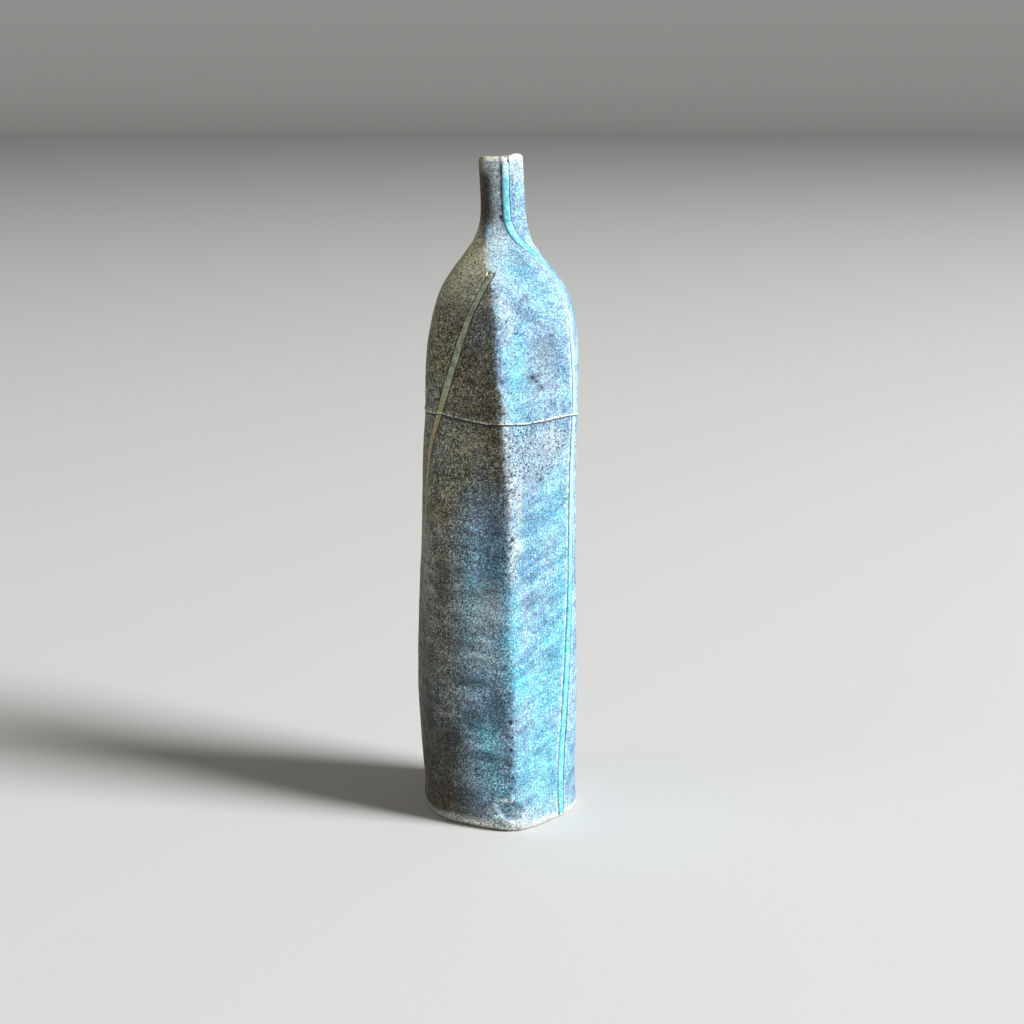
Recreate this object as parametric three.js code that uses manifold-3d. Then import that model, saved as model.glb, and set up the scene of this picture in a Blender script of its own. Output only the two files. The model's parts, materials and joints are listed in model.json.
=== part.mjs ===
// Hand-built ceramic bud vase: a tall six-sided slab bottle with one crisp front arris,
// a cap-like upper half lapped over the lower half, a narrow neck and strips of clay
// pressed into grooves over the slab joints.
// Lengths are millimetres. The table is z = 0, up is +Z, the crisp arris faces -Y.
// Azimuths are degrees: 0 is -Y, 90 is +X. They turn anticlockwise seen from above.

import * as THREE from 'three';
import Module from 'manifold-3d';

// ---------------------------------------------------------------- driving dimensions

const HEIGHT = 250;
const CLEARANCE = 0.3;

const WALL = 4.5;
const NECK_WALL = 3.2;

const FLOOR_THICKNESS = 5.5;
const FLOOR_COIL_SIZE = 4;

const WAIST_HEIGHT = 155.1;
const WAIST_LAP = 4;
const WAIST_SKIRT = 2;
const WAIST_LIP_FLARE = 0.6;
const WAIST_LIP_REACH = 3;
const WAIST_COIL_HEIGHT = 6.4;
const WAIST_COIL_DEPTH = 3.4;

const NECK_JOINT_HEIGHT = 225.5;
const NECK_LAP = 4;
const NECK_SKIRT = 1.5;

const RIM_LOW = 248.8;
const RIM_BUMP_AZIMUTH = 62;
const RIM_BUMP_SPREAD = 40;
const RIM_ROUNDING = 1.6;
const RIM_EDGE = 0.5;

// The joints wander up and down round the vase: [rise, waves in one turn, shift in degrees].
const WAIST_WAVES = [[-0.85, 1, 0], [-0.85, 3, 90], [0.25, 7, 60]];
const NECK_WAVES = [[0.8, 2, 20]];

const STRIP_SUNK = 0.8;
const STRIP_PROUD = 0.35;
const STRIP_BEVEL = 0.35;
const GROOVE_HEADROOM = 2.5;

// A strip ends short of the joint that it meets. Its groove carries on past the joint.
const UNDER_JOINT = 0.9;
const OVER_JOINT = 0.45;
const SLANT_SLACK = 0.3;
const OVERRUN = 3;
const SHOULDER_HEIGHT = 190;

// Half the width across the flats of the six-sided section, against height.
const HALF_WIDTH = [
  [0, 28.4], [4, 29.2], [9, 28.8], [28, 29.3], [48, 29.7], [75, 29.1], [110, 28.3], [142, 28.4],
  [168, 28.5], [180, 27.9], [190, 26.3], [199, 23.5], [207, 18.9], [214, 13.4],
  [219, 10.2], [225, 8.6], [231, 8.1], [241, 8.0], [HEIGHT, 7.9],
];

// Sideways lean of the section's centre towards +X, against height.
const LEAN = [
  [0, -0.2], [28, -1.2], [50, -1.5], [110, -0.9], [140, -0.4], [158, 0.3], [195, 1.25], [215, 0.8],
  [225, 1.1], [HEIGHT, 0.2],
];

// Near the foot the front swells outwards like a shallow keel: the rise at the table, how far
// round it spreads in degrees, and the height where it has died away.
const KEEL_RISE = 2.6;
const KEEL_SPREAD = 38;
const KEEL_TOP = 26;

// Azimuth of the front arris, against height.
const ARRIS_AZIMUTH = [
  [0, 10.5], [50, 11], [100, 9.5], [133, 7], [150, 3.5], [160, 1.5], [177, -2.5], [196, -5.8], [206, -9.5],
  [216, -27], [226, -48],
];

// Sharpness of the six corners: a low number rounds them, a high one squares them.
const CORNER_SHARPNESS = [[0, 6], [30, 8], [80, 11], [160, 11], [200, 9], [212, 6], [226, 8], [HEIGHT, 9]];
const ARRIS_SHARPNESS = 44;
const ARRIS_SPREAD = 22;
const ARRIS_FADE_START = 202;
const ARRIS_FADE_END = 214;
const FOOT_ARRIS_SHARPNESS = 12;
const INSIDE_SHARPNESS = 8;

// Centre line of the strip over the long slab joint: azimuth against height.
const SEAM_STRIP_AZIMUTH = [
  [0, 51.5], [50, 58.5], [70, 61.5], [100, 64], [155, 61.5], [180, 58.5], [193, 62], [203, 69], [209, 73],
  [213, 65], [216.5, 49], [220, 30], [223.5, 17], [226.5, 11], [233, 9], [HEIGHT, 12],
];
const SEAM_STRIP_WIDTH = [
  [0, 2.9], [60, 2.5], [110, 2.2], [155, 2.1], [195, 2.3], [215, 2.9], [235, 2.7], [HEIGHT, 2.6],
];
const SEAM_STRIP_BOTTOM = 2;
const SEAM_STRIP_TOP = 247.2;

// Centre line of the strip that runs slanting down the left side.
const DIAGONAL_STRIP_AZIMUTH = [
  [80, -112], [97, -96], [115, -75], [128, -64.5], [146, -54.5], [158, -48], [176, -38.3], [192, -29],
  [204, -17], [209, -11],
];
const DIAGONAL_STRIP_WIDTH = [[80, 1.9], [150, 2.1], [158, 2.6], [209, 2.2]];
const DIAGONAL_STRIP_BOTTOM = 82;
const DIAGONAL_STRIP_TOP = 208;

// The foot is rounded under: [height, depth under the outside face].
const FOOT_ROUNDING = [[0, 1.3], [0.7, 0.3]];

// Both edges of the waist joint are eased a little.
const LIP_EASING = 0.3;
const LEDGE_EASING = 0.5;
const LEDGE_EASING_HEIGHT = 1;

// Heights of the rings of points that shape each wall, outside and inside.
const LOWER_OUTSIDE = [2.2, 5, 9, 15, 24, 36, 48, 60, 74, 90, 106, 122, 138, 148];
const LOWER_INSIDE = [132, 104, 76, 48, 24, 9, 4, 0];
const LIP_RISES = [0.7, 2.2, 4.2];
const UPPER_OUTSIDE = [
  164, 170, 176, 181, 185.5, 190, 194, 197.5, 201, 204.5, 208, 211, 214, 217, 220, 222.5,
];
const UPPER_INSIDE = [225, 220, 215, 211, 207, 202, 196, 188, 176];
const NECK_OUTSIDE = [229, 233, 238, 243];
const NECK_INSIDE = [240];

// The wall thins from the body to the neck between these heights.
const WALL_THINNING = [[200, WALL], [222, NECK_WALL]];

// Section of the floor's coil, in parts of its size: [inward, upward].
const FLOOR_COIL_SECTION = [[0, 0], [0, 1], [0.35, 0.9], [0.7, 0.6], [0.95, 0.3], [1, 0]];
const WAIST_COIL_STEPS = 7;

// Angles between the columns of points round a wall, from one corner of the section to the next.
const COLUMN_STEPS = [0, 5, 12, 21, 30, 39, 48, 55];

const GLAZE = { roughness: 0.75, metalness: 0 };
const STRIP_GLAZE = { roughness: 0.62, metalness: 0 };
const BARE_CLAY = { roughness: 0.9, metalness: 0 };

// ------------------------------------------------------------------------ smooth curves

// Smooth curve through points [at, value] that never overshoots between them.
function smoothCurve(points) {
  const last = points.length - 1;
  const steps = points.slice(1).map((point, i) => (point[1] - points[i][1]) / (point[0] - points[i][0]));
  const slopes = points.map((point, i) => {
    if (i === 0) {
      return steps[0];
    }
    if (i === last) {
      return steps[last - 1];
    }
    const before = steps[i - 1];
    const after = steps[i];
    return before * after <= 0 ? 0 : (2 * before * after) / (before + after);
  });
  return (at) => {
    const here = THREE.MathUtils.clamp(at, points[0][0], points[last][0]);
    const found = points.findIndex((point, i) => i < last && here <= points[i + 1][0]);
    const [start, startValue] = points[found];
    const [end, endValue] = points[found + 1];
    const span = end - start;
    const t = (here - start) / span;
    const left = (1 + 2 * t) * (1 - t) * (1 - t) * startValue + t * (1 - t) * (1 - t) * span * slopes[found];
    const right = t * t * (3 - 2 * t) * endValue - t * t * (1 - t) * span * slopes[found + 1];
    return left + right;
  };
}

const halfWidth = smoothCurve(HALF_WIDTH);
const lean = smoothCurve(LEAN);
const arrisAzimuth = smoothCurve(ARRIS_AZIMUTH);
const cornerSharpness = smoothCurve(CORNER_SHARPNESS);
const wallThickness = smoothCurve(WALL_THINNING);

const sine = (degrees) => Math.sin(THREE.MathUtils.degToRad(degrees));
const cosine = (degrees) => Math.cos(THREE.MathUtils.degToRad(degrees));
const bell = (distance, spread) => Math.exp(-((distance / spread) ** 2));
const signedAngle = (degrees) => THREE.MathUtils.euclideanModulo(degrees + 180, 360) - 180;

function wander(waves, azimuth) {
  return waves.reduce((sum, [rise, turns, shift]) => sum + rise * sine(turns * azimuth + shift), 0);
}

// Height of the wavy joint between the lower and upper halves.
function waistSeam(azimuth) {
  return WAIST_HEIGHT + wander(WAIST_WAVES, azimuth);
}

// Height of the joint between the shoulder and the neck.
function neckSeam(azimuth) {
  return NECK_JOINT_HEIGHT + wander(NECK_WAVES, azimuth);
}

// Height of the mouth, which rises to a soft bump on one side.
function rimHeight(azimuth) {
  const fromBump = signedAngle(azimuth - RIM_BUMP_AZIMUTH);
  return RIM_LOW + (HEIGHT - RIM_LOW) * bell(fromBump, RIM_BUMP_SPREAD);
}

// ----------------------------------------------------------------------- section shape

// Radius of a six-sided outline whose flats lie one unit from the centre.
// The angle is measured from the front arris.
function outline(angle, sharpness) {
  let sum = 0;
  for (let flat = -150; flat <= 150; flat += 60) {
    sum += Math.max(0, cosine(angle - flat)) ** sharpness;
  }
  return sum ** (-1 / sharpness);
}

// One at the table, falling to nothing at the top of the keel.
function footShare(z) {
  return 1 - THREE.MathUtils.smoothstep(z, 0, KEEL_TOP);
}

function outsideSharpness(z, angle) {
  const fade = 1 - THREE.MathUtils.smoothstep(z, ARRIS_FADE_START, ARRIS_FADE_END);
  const crisp = THREE.MathUtils.lerp(ARRIS_SHARPNESS, FOOT_ARRIS_SHARPNESS, footShare(z));
  const soft = cornerSharpness(z);
  return soft + (crisp - soft) * bell(signedAngle(angle), ARRIS_SPREAD) * fade;
}

function sectionPoint(z, angle, radius) {
  const azimuth = arrisAzimuth(z) + angle;
  return new THREE.Vector3(lean(z) + radius * sine(azimuth), -radius * cosine(azimuth), z);
}

// A point at a given depth under the outside face.
function outsidePoint(z, angle, depth) {
  const keel = KEEL_RISE * bell(signedAngle(angle), KEEL_SPREAD) * footShare(z);
  return sectionPoint(z, angle, (halfWidth(z) - depth) * outline(angle, outsideSharpness(z, angle)) + keel);
}

// A point on a plainer, rounder section inside the wall.
function insidePoint(z, angle, depth) {
  return sectionPoint(z, angle, (halfWidth(z) - depth) * outline(angle, INSIDE_SHARPNESS));
}

// The inside face of the wall, square across the thickness from height z on the outside.
function innerFacePoint(z, angle) {
  const reach = 0.5;
  const slope = (halfWidth(z + reach) - halfWidth(z - reach)) / (2 * reach);
  const run = Math.hypot(1, slope);
  const thickness = wallThickness(z);
  const zInside = z + (thickness * slope) / run;
  const depth = halfWidth(zInside) - halfWidth(z) + thickness / run;
  return insidePoint(zInside, angle, depth);
}

// The thickened lower edge of the upper half stands slightly proud of the lower half.
function lipFlare(z, azimuth) {
  return WAIST_LIP_FLARE * bell(Math.max(0, z - waistSeam(azimuth)), WAIST_LIP_REACH);
}

// --------------------------------------------------------------------- closed surfaces

// Angles of the columns of points round a wall: close together at the six corners.
const columns = [];
for (let corner = 0; corner < 360; corner += 60) {
  columns.push(...COLUMN_STEPS.map((step) => corner + step));
}

function centreOf(ring) {
  const sum = ring.reduce((total, point) => total.add(point), new THREE.Vector3());
  return sum.divideScalar(ring.length);
}

// Skins a row of rings. Joined rings close up into a tube wall, capped ones into a bar.
function loft(rings, joined) {
  const across = rings[0].length;
  const points = rings.flat();
  const faces = [];
  const bands = joined ? rings.length : rings.length - 1;
  for (let i = 0; i < bands; i += 1) {
    const here = i * across;
    const next = ((i + 1) % rings.length) * across;
    for (let j = 0; j < across; j += 1) {
      const side = (j + 1) % across;
      faces.push([here + j, here + side, next + side]);
      faces.push([here + j, next + side, next + j]);
    }
  }
  if (!joined) {
    const first = points.push(centreOf(rings[0])) - 1;
    const last = points.push(centreOf(rings[rings.length - 1])) - 1;
    const top = (rings.length - 1) * across;
    for (let j = 0; j < across; j += 1) {
      const side = (j + 1) % across;
      faces.push([first, side, j]);
      faces.push([last, top + j, top + side]);
    }
  }
  const geometry = new THREE.BufferGeometry().setFromPoints(points);
  geometry.setIndex(faces.flat());
  return geometry;
}

// A full ring of points, from a rule that gives the point for each column angle.
function ringOf(pointAt) {
  return columns.map((angle) => pointAt(angle));
}

function spread(from, to, count) {
  return Array.from({ length: count }, (_, i) => THREE.MathUtils.lerp(from, to, i / (count - 1)));
}

// ---------------------------------------------------------------------------- cutting

const wasm = await Module();
wasm.setup();

function solidOf(geometry) {
  return new wasm.Manifold(new wasm.Mesh({
    numProp: 3,
    vertProperties: geometry.getAttribute('position').array,
    triVerts: new Uint32Array(geometry.getIndex().array),
  }));
}

// The body with every one of the cutters taken away from it.
function cut(body, cutters) {
  const solid = cutters.reduce((left, cutter) => left.subtract(solidOf(cutter)), solidOf(body));
  const mesh = solid.getMesh();
  const geometry = new THREE.BufferGeometry();
  geometry.setAttribute('position', new THREE.BufferAttribute(new Float32Array(mesh.vertProperties), 3));
  geometry.setIndex(new THREE.BufferAttribute(new Uint32Array(mesh.triVerts), 1));
  return geometry;
}

// ------------------------------------------------------------- heights that follow joints

const waistAt = (angle) => waistSeam(arrisAzimuth(WAIST_HEIGHT) + angle);
const neckAt = (angle) => neckSeam(arrisAzimuth(NECK_JOINT_HEIGHT) + angle);
const rimAt = (angle) => rimHeight(arrisAzimuth(HEIGHT) + angle);

// ----------------------------------------------------------------------------- strips

// Point on the outside face at a true azimuth, lifted off it by a height.
function facePoint(z, azimuth, lift, flared) {
  const flare = flared ? lipFlare(z, azimuth) : 0;
  return outsidePoint(z, azimuth - arrisAzimuth(z), -lift - flare);
}

function faceNormal(z, azimuth) {
  const reach = 0.4;
  const turn = 1.5;
  const up = facePoint(z + reach, azimuth, 0, false).sub(facePoint(z - reach, azimuth, 0, false));
  const round = facePoint(z, azimuth + turn, 0, false).sub(facePoint(z, azimuth - turn, 0, false));
  return round.cross(up).normalize();
}

// One slice across a strip: pairs of [part of the half width, height over the face].
function stripSlice(z, line, halfSpan, shape) {
  const azimuth = line.azimuthAt(z);
  const radius = Math.hypot(facePoint(z, azimuth, 0, false).x - lean(z), facePoint(z, azimuth, 0, false).y);
  const reach = 0.5;
  const drift = THREE.MathUtils.degToRad(line.azimuthAt(z + reach) - line.azimuthAt(z - reach)) * radius;
  const climb = Math.hypot(2 * reach, halfWidth(z + reach) - halfWidth(z - reach));
  const slant = Math.hypot(1, drift / climb);
  return shape.map(([part, height]) => {
    const turn = THREE.MathUtils.radToDeg((part * halfSpan * slant) / radius);
    const normal = faceNormal(z, azimuth + turn);
    return facePoint(z, azimuth + turn, 0, line.flared).addScaledVector(normal, height);
  });
}

function stripGeometry(line, heights) {
  const rings = heights.map((z) => {
    const half = line.widthAt(z) / 2;
    const shoulder = (half - STRIP_BEVEL) / half;
    return stripSlice(z, line, half, [
      [-1, 0], [-shoulder, STRIP_PROUD], [shoulder, STRIP_PROUD],
      [1, 0], [1, -STRIP_SUNK], [-1, -STRIP_SUNK],
    ]);
  });
  return loft(rings, false);
}

function grooveGeometry(line, heights) {
  const bottom = -STRIP_SUNK - CLEARANCE;
  const rings = heights.map((z) => stripSlice(z, line, line.widthAt(z) / 2 + CLEARANCE, [
    [-1, GROOVE_HEADROOM], [1, GROOVE_HEADROOM], [1, STRIP_PROUD],
    [1, bottom], [-1, bottom], [-1, STRIP_PROUD],
  ]));
  return loft(rings, false);
}

function stripLine(azimuths, widths, flared) {
  return { azimuthAt: smoothCurve(azimuths), widthAt: smoothCurve(widths), flared };
}

const seamLine = stripLine(SEAM_STRIP_AZIMUTH, SEAM_STRIP_WIDTH, false);
const seamLineFlared = stripLine(SEAM_STRIP_AZIMUTH, SEAM_STRIP_WIDTH, true);
const diagonalLine = stripLine(DIAGONAL_STRIP_AZIMUTH, DIAGONAL_STRIP_WIDTH, false);
const diagonalLineFlared = stripLine(DIAGONAL_STRIP_AZIMUTH, DIAGONAL_STRIP_WIDTH, true);

// Heights of the joints where each strip crosses them.
const seamWaist = waistSeam(seamLine.azimuthAt(WAIST_HEIGHT));
const diagonalWaist = waistSeam(diagonalLine.azimuthAt(WAIST_HEIGHT));
const seamNeck = neckSeam(seamLine.azimuthAt(NECK_JOINT_HEIGHT));

const spans = {
  lowerSeam: spread(SEAM_STRIP_BOTTOM, seamWaist - UNDER_JOINT, 20),
  upperSeam: [
    ...spread(seamWaist + OVER_JOINT, SHOULDER_HEIGHT, 9),
    ...spread(SHOULDER_HEIGHT, seamNeck - UNDER_JOINT, 26).slice(1),
  ],
  neckSeam: spread(seamNeck + OVER_JOINT, SEAM_STRIP_TOP, 8),
  lowerDiagonal: spread(DIAGONAL_STRIP_BOTTOM, diagonalWaist - UNDER_JOINT - SLANT_SLACK, 22),
  upperDiagonal: spread(diagonalWaist + OVER_JOINT + SLANT_SLACK, DIAGONAL_STRIP_TOP, 18),
};

const strips = {
  lowerSeam: stripGeometry(seamLine, spans.lowerSeam),
  upperSeam: stripGeometry(seamLineFlared, spans.upperSeam),
  neckSeam: stripGeometry(seamLine, spans.neckSeam),
  lowerDiagonal: stripGeometry(diagonalLine, spans.lowerDiagonal),
  upperDiagonal: stripGeometry(diagonalLineFlared, spans.upperDiagonal),
};

const grooves = {
  lowerSeam: grooveGeometry(seamLine, [
    SEAM_STRIP_BOTTOM - CLEARANCE, ...spans.lowerSeam, seamWaist + OVERRUN,
  ]),
  upperSeam: grooveGeometry(seamLineFlared, [
    seamWaist - OVERRUN, ...spans.upperSeam, seamNeck + OVERRUN,
  ]),
  neckSeam: grooveGeometry(seamLine, [
    seamNeck - OVERRUN, ...spans.neckSeam, SEAM_STRIP_TOP + CLEARANCE,
  ]),
  lowerDiagonal: grooveGeometry(diagonalLine, [
    DIAGONAL_STRIP_BOTTOM - CLEARANCE, ...spans.lowerDiagonal, diagonalWaist + OVERRUN,
  ]),
  upperDiagonal: grooveGeometry(diagonalLineFlared, [
    diagonalWaist - OVERRUN, ...spans.upperDiagonal, DIAGONAL_STRIP_TOP + CLEARANCE,
  ]),
};

// ----------------------------------------------------------------------------- walls

// Lower half: a rounded foot, a tall gently swelling wall and a tongue for the upper half.
function lowerWall() {
  const tongueDepth = WAIST_SKIRT + CLEARANCE;
  const ledgeAt = (angle) => waistAt(angle) - CLEARANCE;
  const tongueTopAt = (angle) => waistAt(angle) + WAIST_LAP;
  const rings = [
    ...FOOT_ROUNDING.map(([z, depth]) => ringOf((angle) => outsidePoint(z, angle, depth))),
    ...LOWER_OUTSIDE.map((z) => ringOf((angle) => outsidePoint(z, angle, 0))),
    ringOf((angle) => outsidePoint(ledgeAt(angle) - LEDGE_EASING_HEIGHT, angle, 0)),
    ringOf((angle) => outsidePoint(ledgeAt(angle), angle, LEDGE_EASING)),
    ringOf((angle) => outsidePoint(ledgeAt(angle), angle, tongueDepth)),
    ringOf((angle) => outsidePoint(tongueTopAt(angle), angle, tongueDepth)),
    ringOf((angle) => insidePoint(tongueTopAt(angle), angle, WALL)),
    ringOf((angle) => insidePoint(waistAt(angle) - WAIST_LAP, angle, WALL)),
    ...LOWER_INSIDE.map((z) => ringOf((angle) => insidePoint(z, angle, WALL))),
  ];
  return cut(loft(rings, true), [grooves.lowerSeam, grooves.lowerDiagonal]);
}

// A point on the upper half's outside face near its lower edge, which flares a little.
function lipPoint(angle, rise) {
  const z = waistAt(angle) + rise;
  return outsidePoint(z, angle, -lipFlare(z, arrisAzimuth(z) + angle));
}

// Upper half: a skirt that laps over the tongue, the shoulder, and a tongue for the neck.
function upperWall() {
  const tongueDepth = NECK_SKIRT + CLEARANCE;
  const ledgeAt = (angle) => neckAt(angle) - CLEARANCE;
  const tongueTopAt = (angle) => neckAt(angle) + NECK_LAP;
  const ceilingAt = (angle) => waistAt(angle) + WAIST_LAP + CLEARANCE;
  const rings = [
    ringOf((angle) => outsidePoint(waistAt(angle), angle, LIP_EASING)),
    ...LIP_RISES.map((rise) => ringOf((angle) => lipPoint(angle, rise))),
    ...UPPER_OUTSIDE.map((z) => ringOf((angle) => outsidePoint(z, angle, 0))),
    ringOf((angle) => outsidePoint(ledgeAt(angle), angle, 0)),
    ringOf((angle) => outsidePoint(ledgeAt(angle), angle, tongueDepth)),
    ringOf((angle) => outsidePoint(tongueTopAt(angle), angle, tongueDepth)),
    ringOf((angle) => insidePoint(tongueTopAt(angle), angle, NECK_WALL)),
    ...UPPER_INSIDE.map((z) => ringOf((angle) => innerFacePoint(z, angle))),
    ringOf((angle) => insidePoint(ceilingAt(angle), angle, WALL)),
    ringOf((angle) => outsidePoint(ceilingAt(angle), angle, WAIST_SKIRT)),
    ringOf((angle) => outsidePoint(waistAt(angle), angle, WAIST_SKIRT)),
  ];
  return cut(loft(rings, true), [grooves.upperSeam, grooves.upperDiagonal]);
}

// Neck: a narrow tube whose skirt laps over the shoulder's tongue, with a rounded mouth.
function neckWall() {
  const ceilingAt = (angle) => neckAt(angle) + NECK_LAP + CLEARANCE;
  const rings = [
    ringOf((angle) => outsidePoint(neckAt(angle), angle, 0)),
    ...NECK_OUTSIDE.map((z) => ringOf((angle) => outsidePoint(z, angle, 0))),
    ringOf((angle) => outsidePoint(rimAt(angle) - RIM_ROUNDING, angle, 0)),
    ringOf((angle) => outsidePoint(rimAt(angle) - RIM_EDGE, angle, RIM_EDGE)),
    ringOf((angle) => outsidePoint(rimAt(angle), angle, NECK_WALL / 2)),
    ringOf((angle) => insidePoint(rimAt(angle) - RIM_EDGE, angle, NECK_WALL - RIM_EDGE)),
    ringOf((angle) => insidePoint(rimAt(angle) - RIM_ROUNDING, angle, NECK_WALL)),
    ...NECK_INSIDE.map((z) => ringOf((angle) => insidePoint(z, angle, NECK_WALL))),
    ringOf((angle) => insidePoint(ceilingAt(angle), angle, NECK_WALL)),
    ringOf((angle) => outsidePoint(ceilingAt(angle), angle, NECK_SKIRT)),
    ringOf((angle) => outsidePoint(neckAt(angle), angle, NECK_SKIRT)),
  ];
  return cut(loft(rings, true), [grooves.neckSeam]);
}

// Floor slab: fits inside the lower wall, its underside level with the foot.
function floorSlab() {
  const depth = WALL + CLEARANCE;
  const rings = spread(0, FLOOR_THICKNESS, 3).map((z) => ringOf((angle) => insidePoint(z, angle, depth)));
  return loft(rings, false);
}

// Coil pressed into the corner between the floor slab and the wall.
function floorCoil() {
  const depth = WALL + CLEARANCE;
  const bottom = FLOOR_THICKNESS + CLEARANCE;
  const rings = FLOOR_COIL_SECTION.map(([inward, up]) => ringOf((angle) => insidePoint(
    bottom + up * FLOOR_COIL_SIZE,
    angle,
    depth + inward * FLOOR_COIL_SIZE,
  )));
  return loft(rings, true);
}

// Coil laid behind the waist joint, a low half-round band following the seam.
function waistCoil() {
  const depth = WALL + CLEARANCE;
  const rings = spread(-90, 90, WAIST_COIL_STEPS).reverse().map((turn) => {
    const up = (sine(turn) * WAIST_COIL_HEIGHT) / 2;
    const inward = Math.abs(turn) === 90 ? 0 : cosine(turn) * WAIST_COIL_DEPTH;
    return ringOf((angle) => insidePoint(waistAt(angle) + up, angle, depth + inward));
  });
  return loft(rings, true);
}

// --------------------------------------------------------------------------- assembly

const group = new THREE.Group();
group.name = 'ceramic_bud_vase';

function addNode(name, geometry, finish, color) {
  geometry.computeVertexNormals();
  const node = new THREE.Mesh(geometry, new THREE.MeshStandardMaterial({ ...finish, color }));
  node.name = name;
  group.add(node);
}

addNode('floor_slab', floorSlab(), BARE_CLAY, 0xb9a892);
addNode('lower_wall', lowerWall(), GLAZE, 0x6f8793);
addNode('upper_wall', upperWall(), GLAZE, 0x7b929c);
addNode('neck_wall', neckWall(), GLAZE, 0x7d949b);
addNode('floor_coil', floorCoil(), BARE_CLAY, 0xb09e87);
addNode('waist_coil', waistCoil(), BARE_CLAY, 0xb09e87);
addNode('seam_strip_lower', strips.lowerSeam, STRIP_GLAZE, 0x63c3d2);
addNode('seam_strip_upper', strips.upperSeam, STRIP_GLAZE, 0x6cc4d0);
addNode('seam_strip_neck', strips.neckSeam, STRIP_GLAZE, 0x7fcfd8);
addNode('diagonal_strip_lower', strips.lowerDiagonal, STRIP_GLAZE, 0x807858);
addNode('diagonal_strip_upper', strips.upperDiagonal, STRIP_GLAZE, 0x7c8468);

export default group;
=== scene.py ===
"""Looks for the hand-built ceramic bud vase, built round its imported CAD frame."""

import json
import math

import bpy
import numpy as np
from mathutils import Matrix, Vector

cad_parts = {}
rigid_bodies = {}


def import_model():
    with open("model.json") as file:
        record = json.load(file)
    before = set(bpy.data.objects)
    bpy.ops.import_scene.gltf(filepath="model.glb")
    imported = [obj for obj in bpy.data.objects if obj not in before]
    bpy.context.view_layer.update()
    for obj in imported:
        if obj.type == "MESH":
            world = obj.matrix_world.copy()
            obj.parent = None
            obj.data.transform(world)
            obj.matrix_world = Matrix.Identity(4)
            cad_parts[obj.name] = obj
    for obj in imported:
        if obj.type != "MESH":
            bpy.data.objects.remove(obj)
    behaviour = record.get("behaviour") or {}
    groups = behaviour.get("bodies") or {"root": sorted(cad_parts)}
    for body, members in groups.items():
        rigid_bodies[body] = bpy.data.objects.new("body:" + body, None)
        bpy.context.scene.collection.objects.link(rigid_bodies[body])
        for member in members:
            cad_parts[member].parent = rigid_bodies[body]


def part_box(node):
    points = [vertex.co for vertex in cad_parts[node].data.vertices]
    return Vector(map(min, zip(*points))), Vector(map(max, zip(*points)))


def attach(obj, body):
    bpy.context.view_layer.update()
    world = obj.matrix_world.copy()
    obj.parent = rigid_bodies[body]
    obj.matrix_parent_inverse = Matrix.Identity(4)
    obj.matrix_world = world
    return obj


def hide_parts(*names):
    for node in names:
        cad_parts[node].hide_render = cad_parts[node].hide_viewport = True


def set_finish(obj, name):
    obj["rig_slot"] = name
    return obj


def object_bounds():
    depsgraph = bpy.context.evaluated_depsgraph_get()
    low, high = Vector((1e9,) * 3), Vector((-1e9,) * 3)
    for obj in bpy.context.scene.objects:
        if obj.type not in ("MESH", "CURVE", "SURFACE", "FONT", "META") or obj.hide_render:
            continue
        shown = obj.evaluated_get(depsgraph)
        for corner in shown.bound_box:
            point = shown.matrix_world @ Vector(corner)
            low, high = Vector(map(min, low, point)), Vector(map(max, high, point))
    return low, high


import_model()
cad_low, cad_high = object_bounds()

# ---- dimensions
# Shape work is in millimetres. Meshes are written in metres.

MM = 0.001
HEIGHT = (cad_high.z - cad_low.z) / MM
CLEARANCE = 0.3
WALL = 4.5
NECK_WALL = 3.2
WAIST_HEIGHT = 155.1
WAIST_LAP = 4.0
WAIST_SKIRT = 2.0
NECK_JOINT_HEIGHT = 225.5
NECK_LAP = 4.0
NECK_SKIRT = 1.5
RIM_LOW = HEIGHT - 1.2
RIM_BUMP_AZIMUTH = 62
RIM_BUMP_SPREAD = 40
FOOT_ROUND = 1.9
SKIN_INSET = 0.09

FLOOR_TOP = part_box("floor_slab")[1].z / MM
FLOOR_COIL_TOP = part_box("floor_coil")[1].z / MM
WAIST_COIL_HEIGHT = 6.4
WAIST_COIL_DEPTH = 3.4

STRIP_SUNK = 0.8
STRIP_PROUD = 0.35

# The CAD model's own curves: half width across the flats, sideways lean, azimuth of the
# crisp front arris and sharpness of the corners, each against height.
HALF_WIDTH = [
    (0, 28.4), (4, 29.2), (9, 28.8), (28, 29.3), (48, 29.7), (75, 29.1), (110, 28.3), (142, 28.4),
    (168, 28.5), (180, 27.9), (190, 26.3), (199, 23.5), (207, 18.9), (214, 13.4),
    (219, 10.2), (225, 8.6), (231, 8.1), (241, 8.0), (HEIGHT, 7.9),
]
LEAN = [
    (0, -0.2), (28, -1.2), (50, -1.5), (110, -0.9), (140, -0.4), (158, 0.3), (195, 1.25),
    (215, 0.8), (225, 1.1), (HEIGHT, 0.2),
]
KEEL_RISE = 2.6
KEEL_SPREAD = 38
KEEL_TOP = 26
ARRIS_AZIMUTH = [
    (0, 10.5), (50, 11), (100, 9.5), (133, 7), (150, 3.5), (160, 1.5), (177, -2.5), (196, -5.8),
    (206, -9.5), (216, -27), (226, -48),
]
CORNER_SHARPNESS = [(0, 6), (30, 8), (80, 11), (160, 11), (200, 9), (212, 6), (226, 8), (HEIGHT, 9)]
ARRIS_SHARPNESS = 44
ARRIS_SPREAD = 22
ARRIS_FADE = (202, 214)
FOOT_ARRIS_SHARPNESS = 12
INSIDE_SHARPNESS = 8

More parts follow.
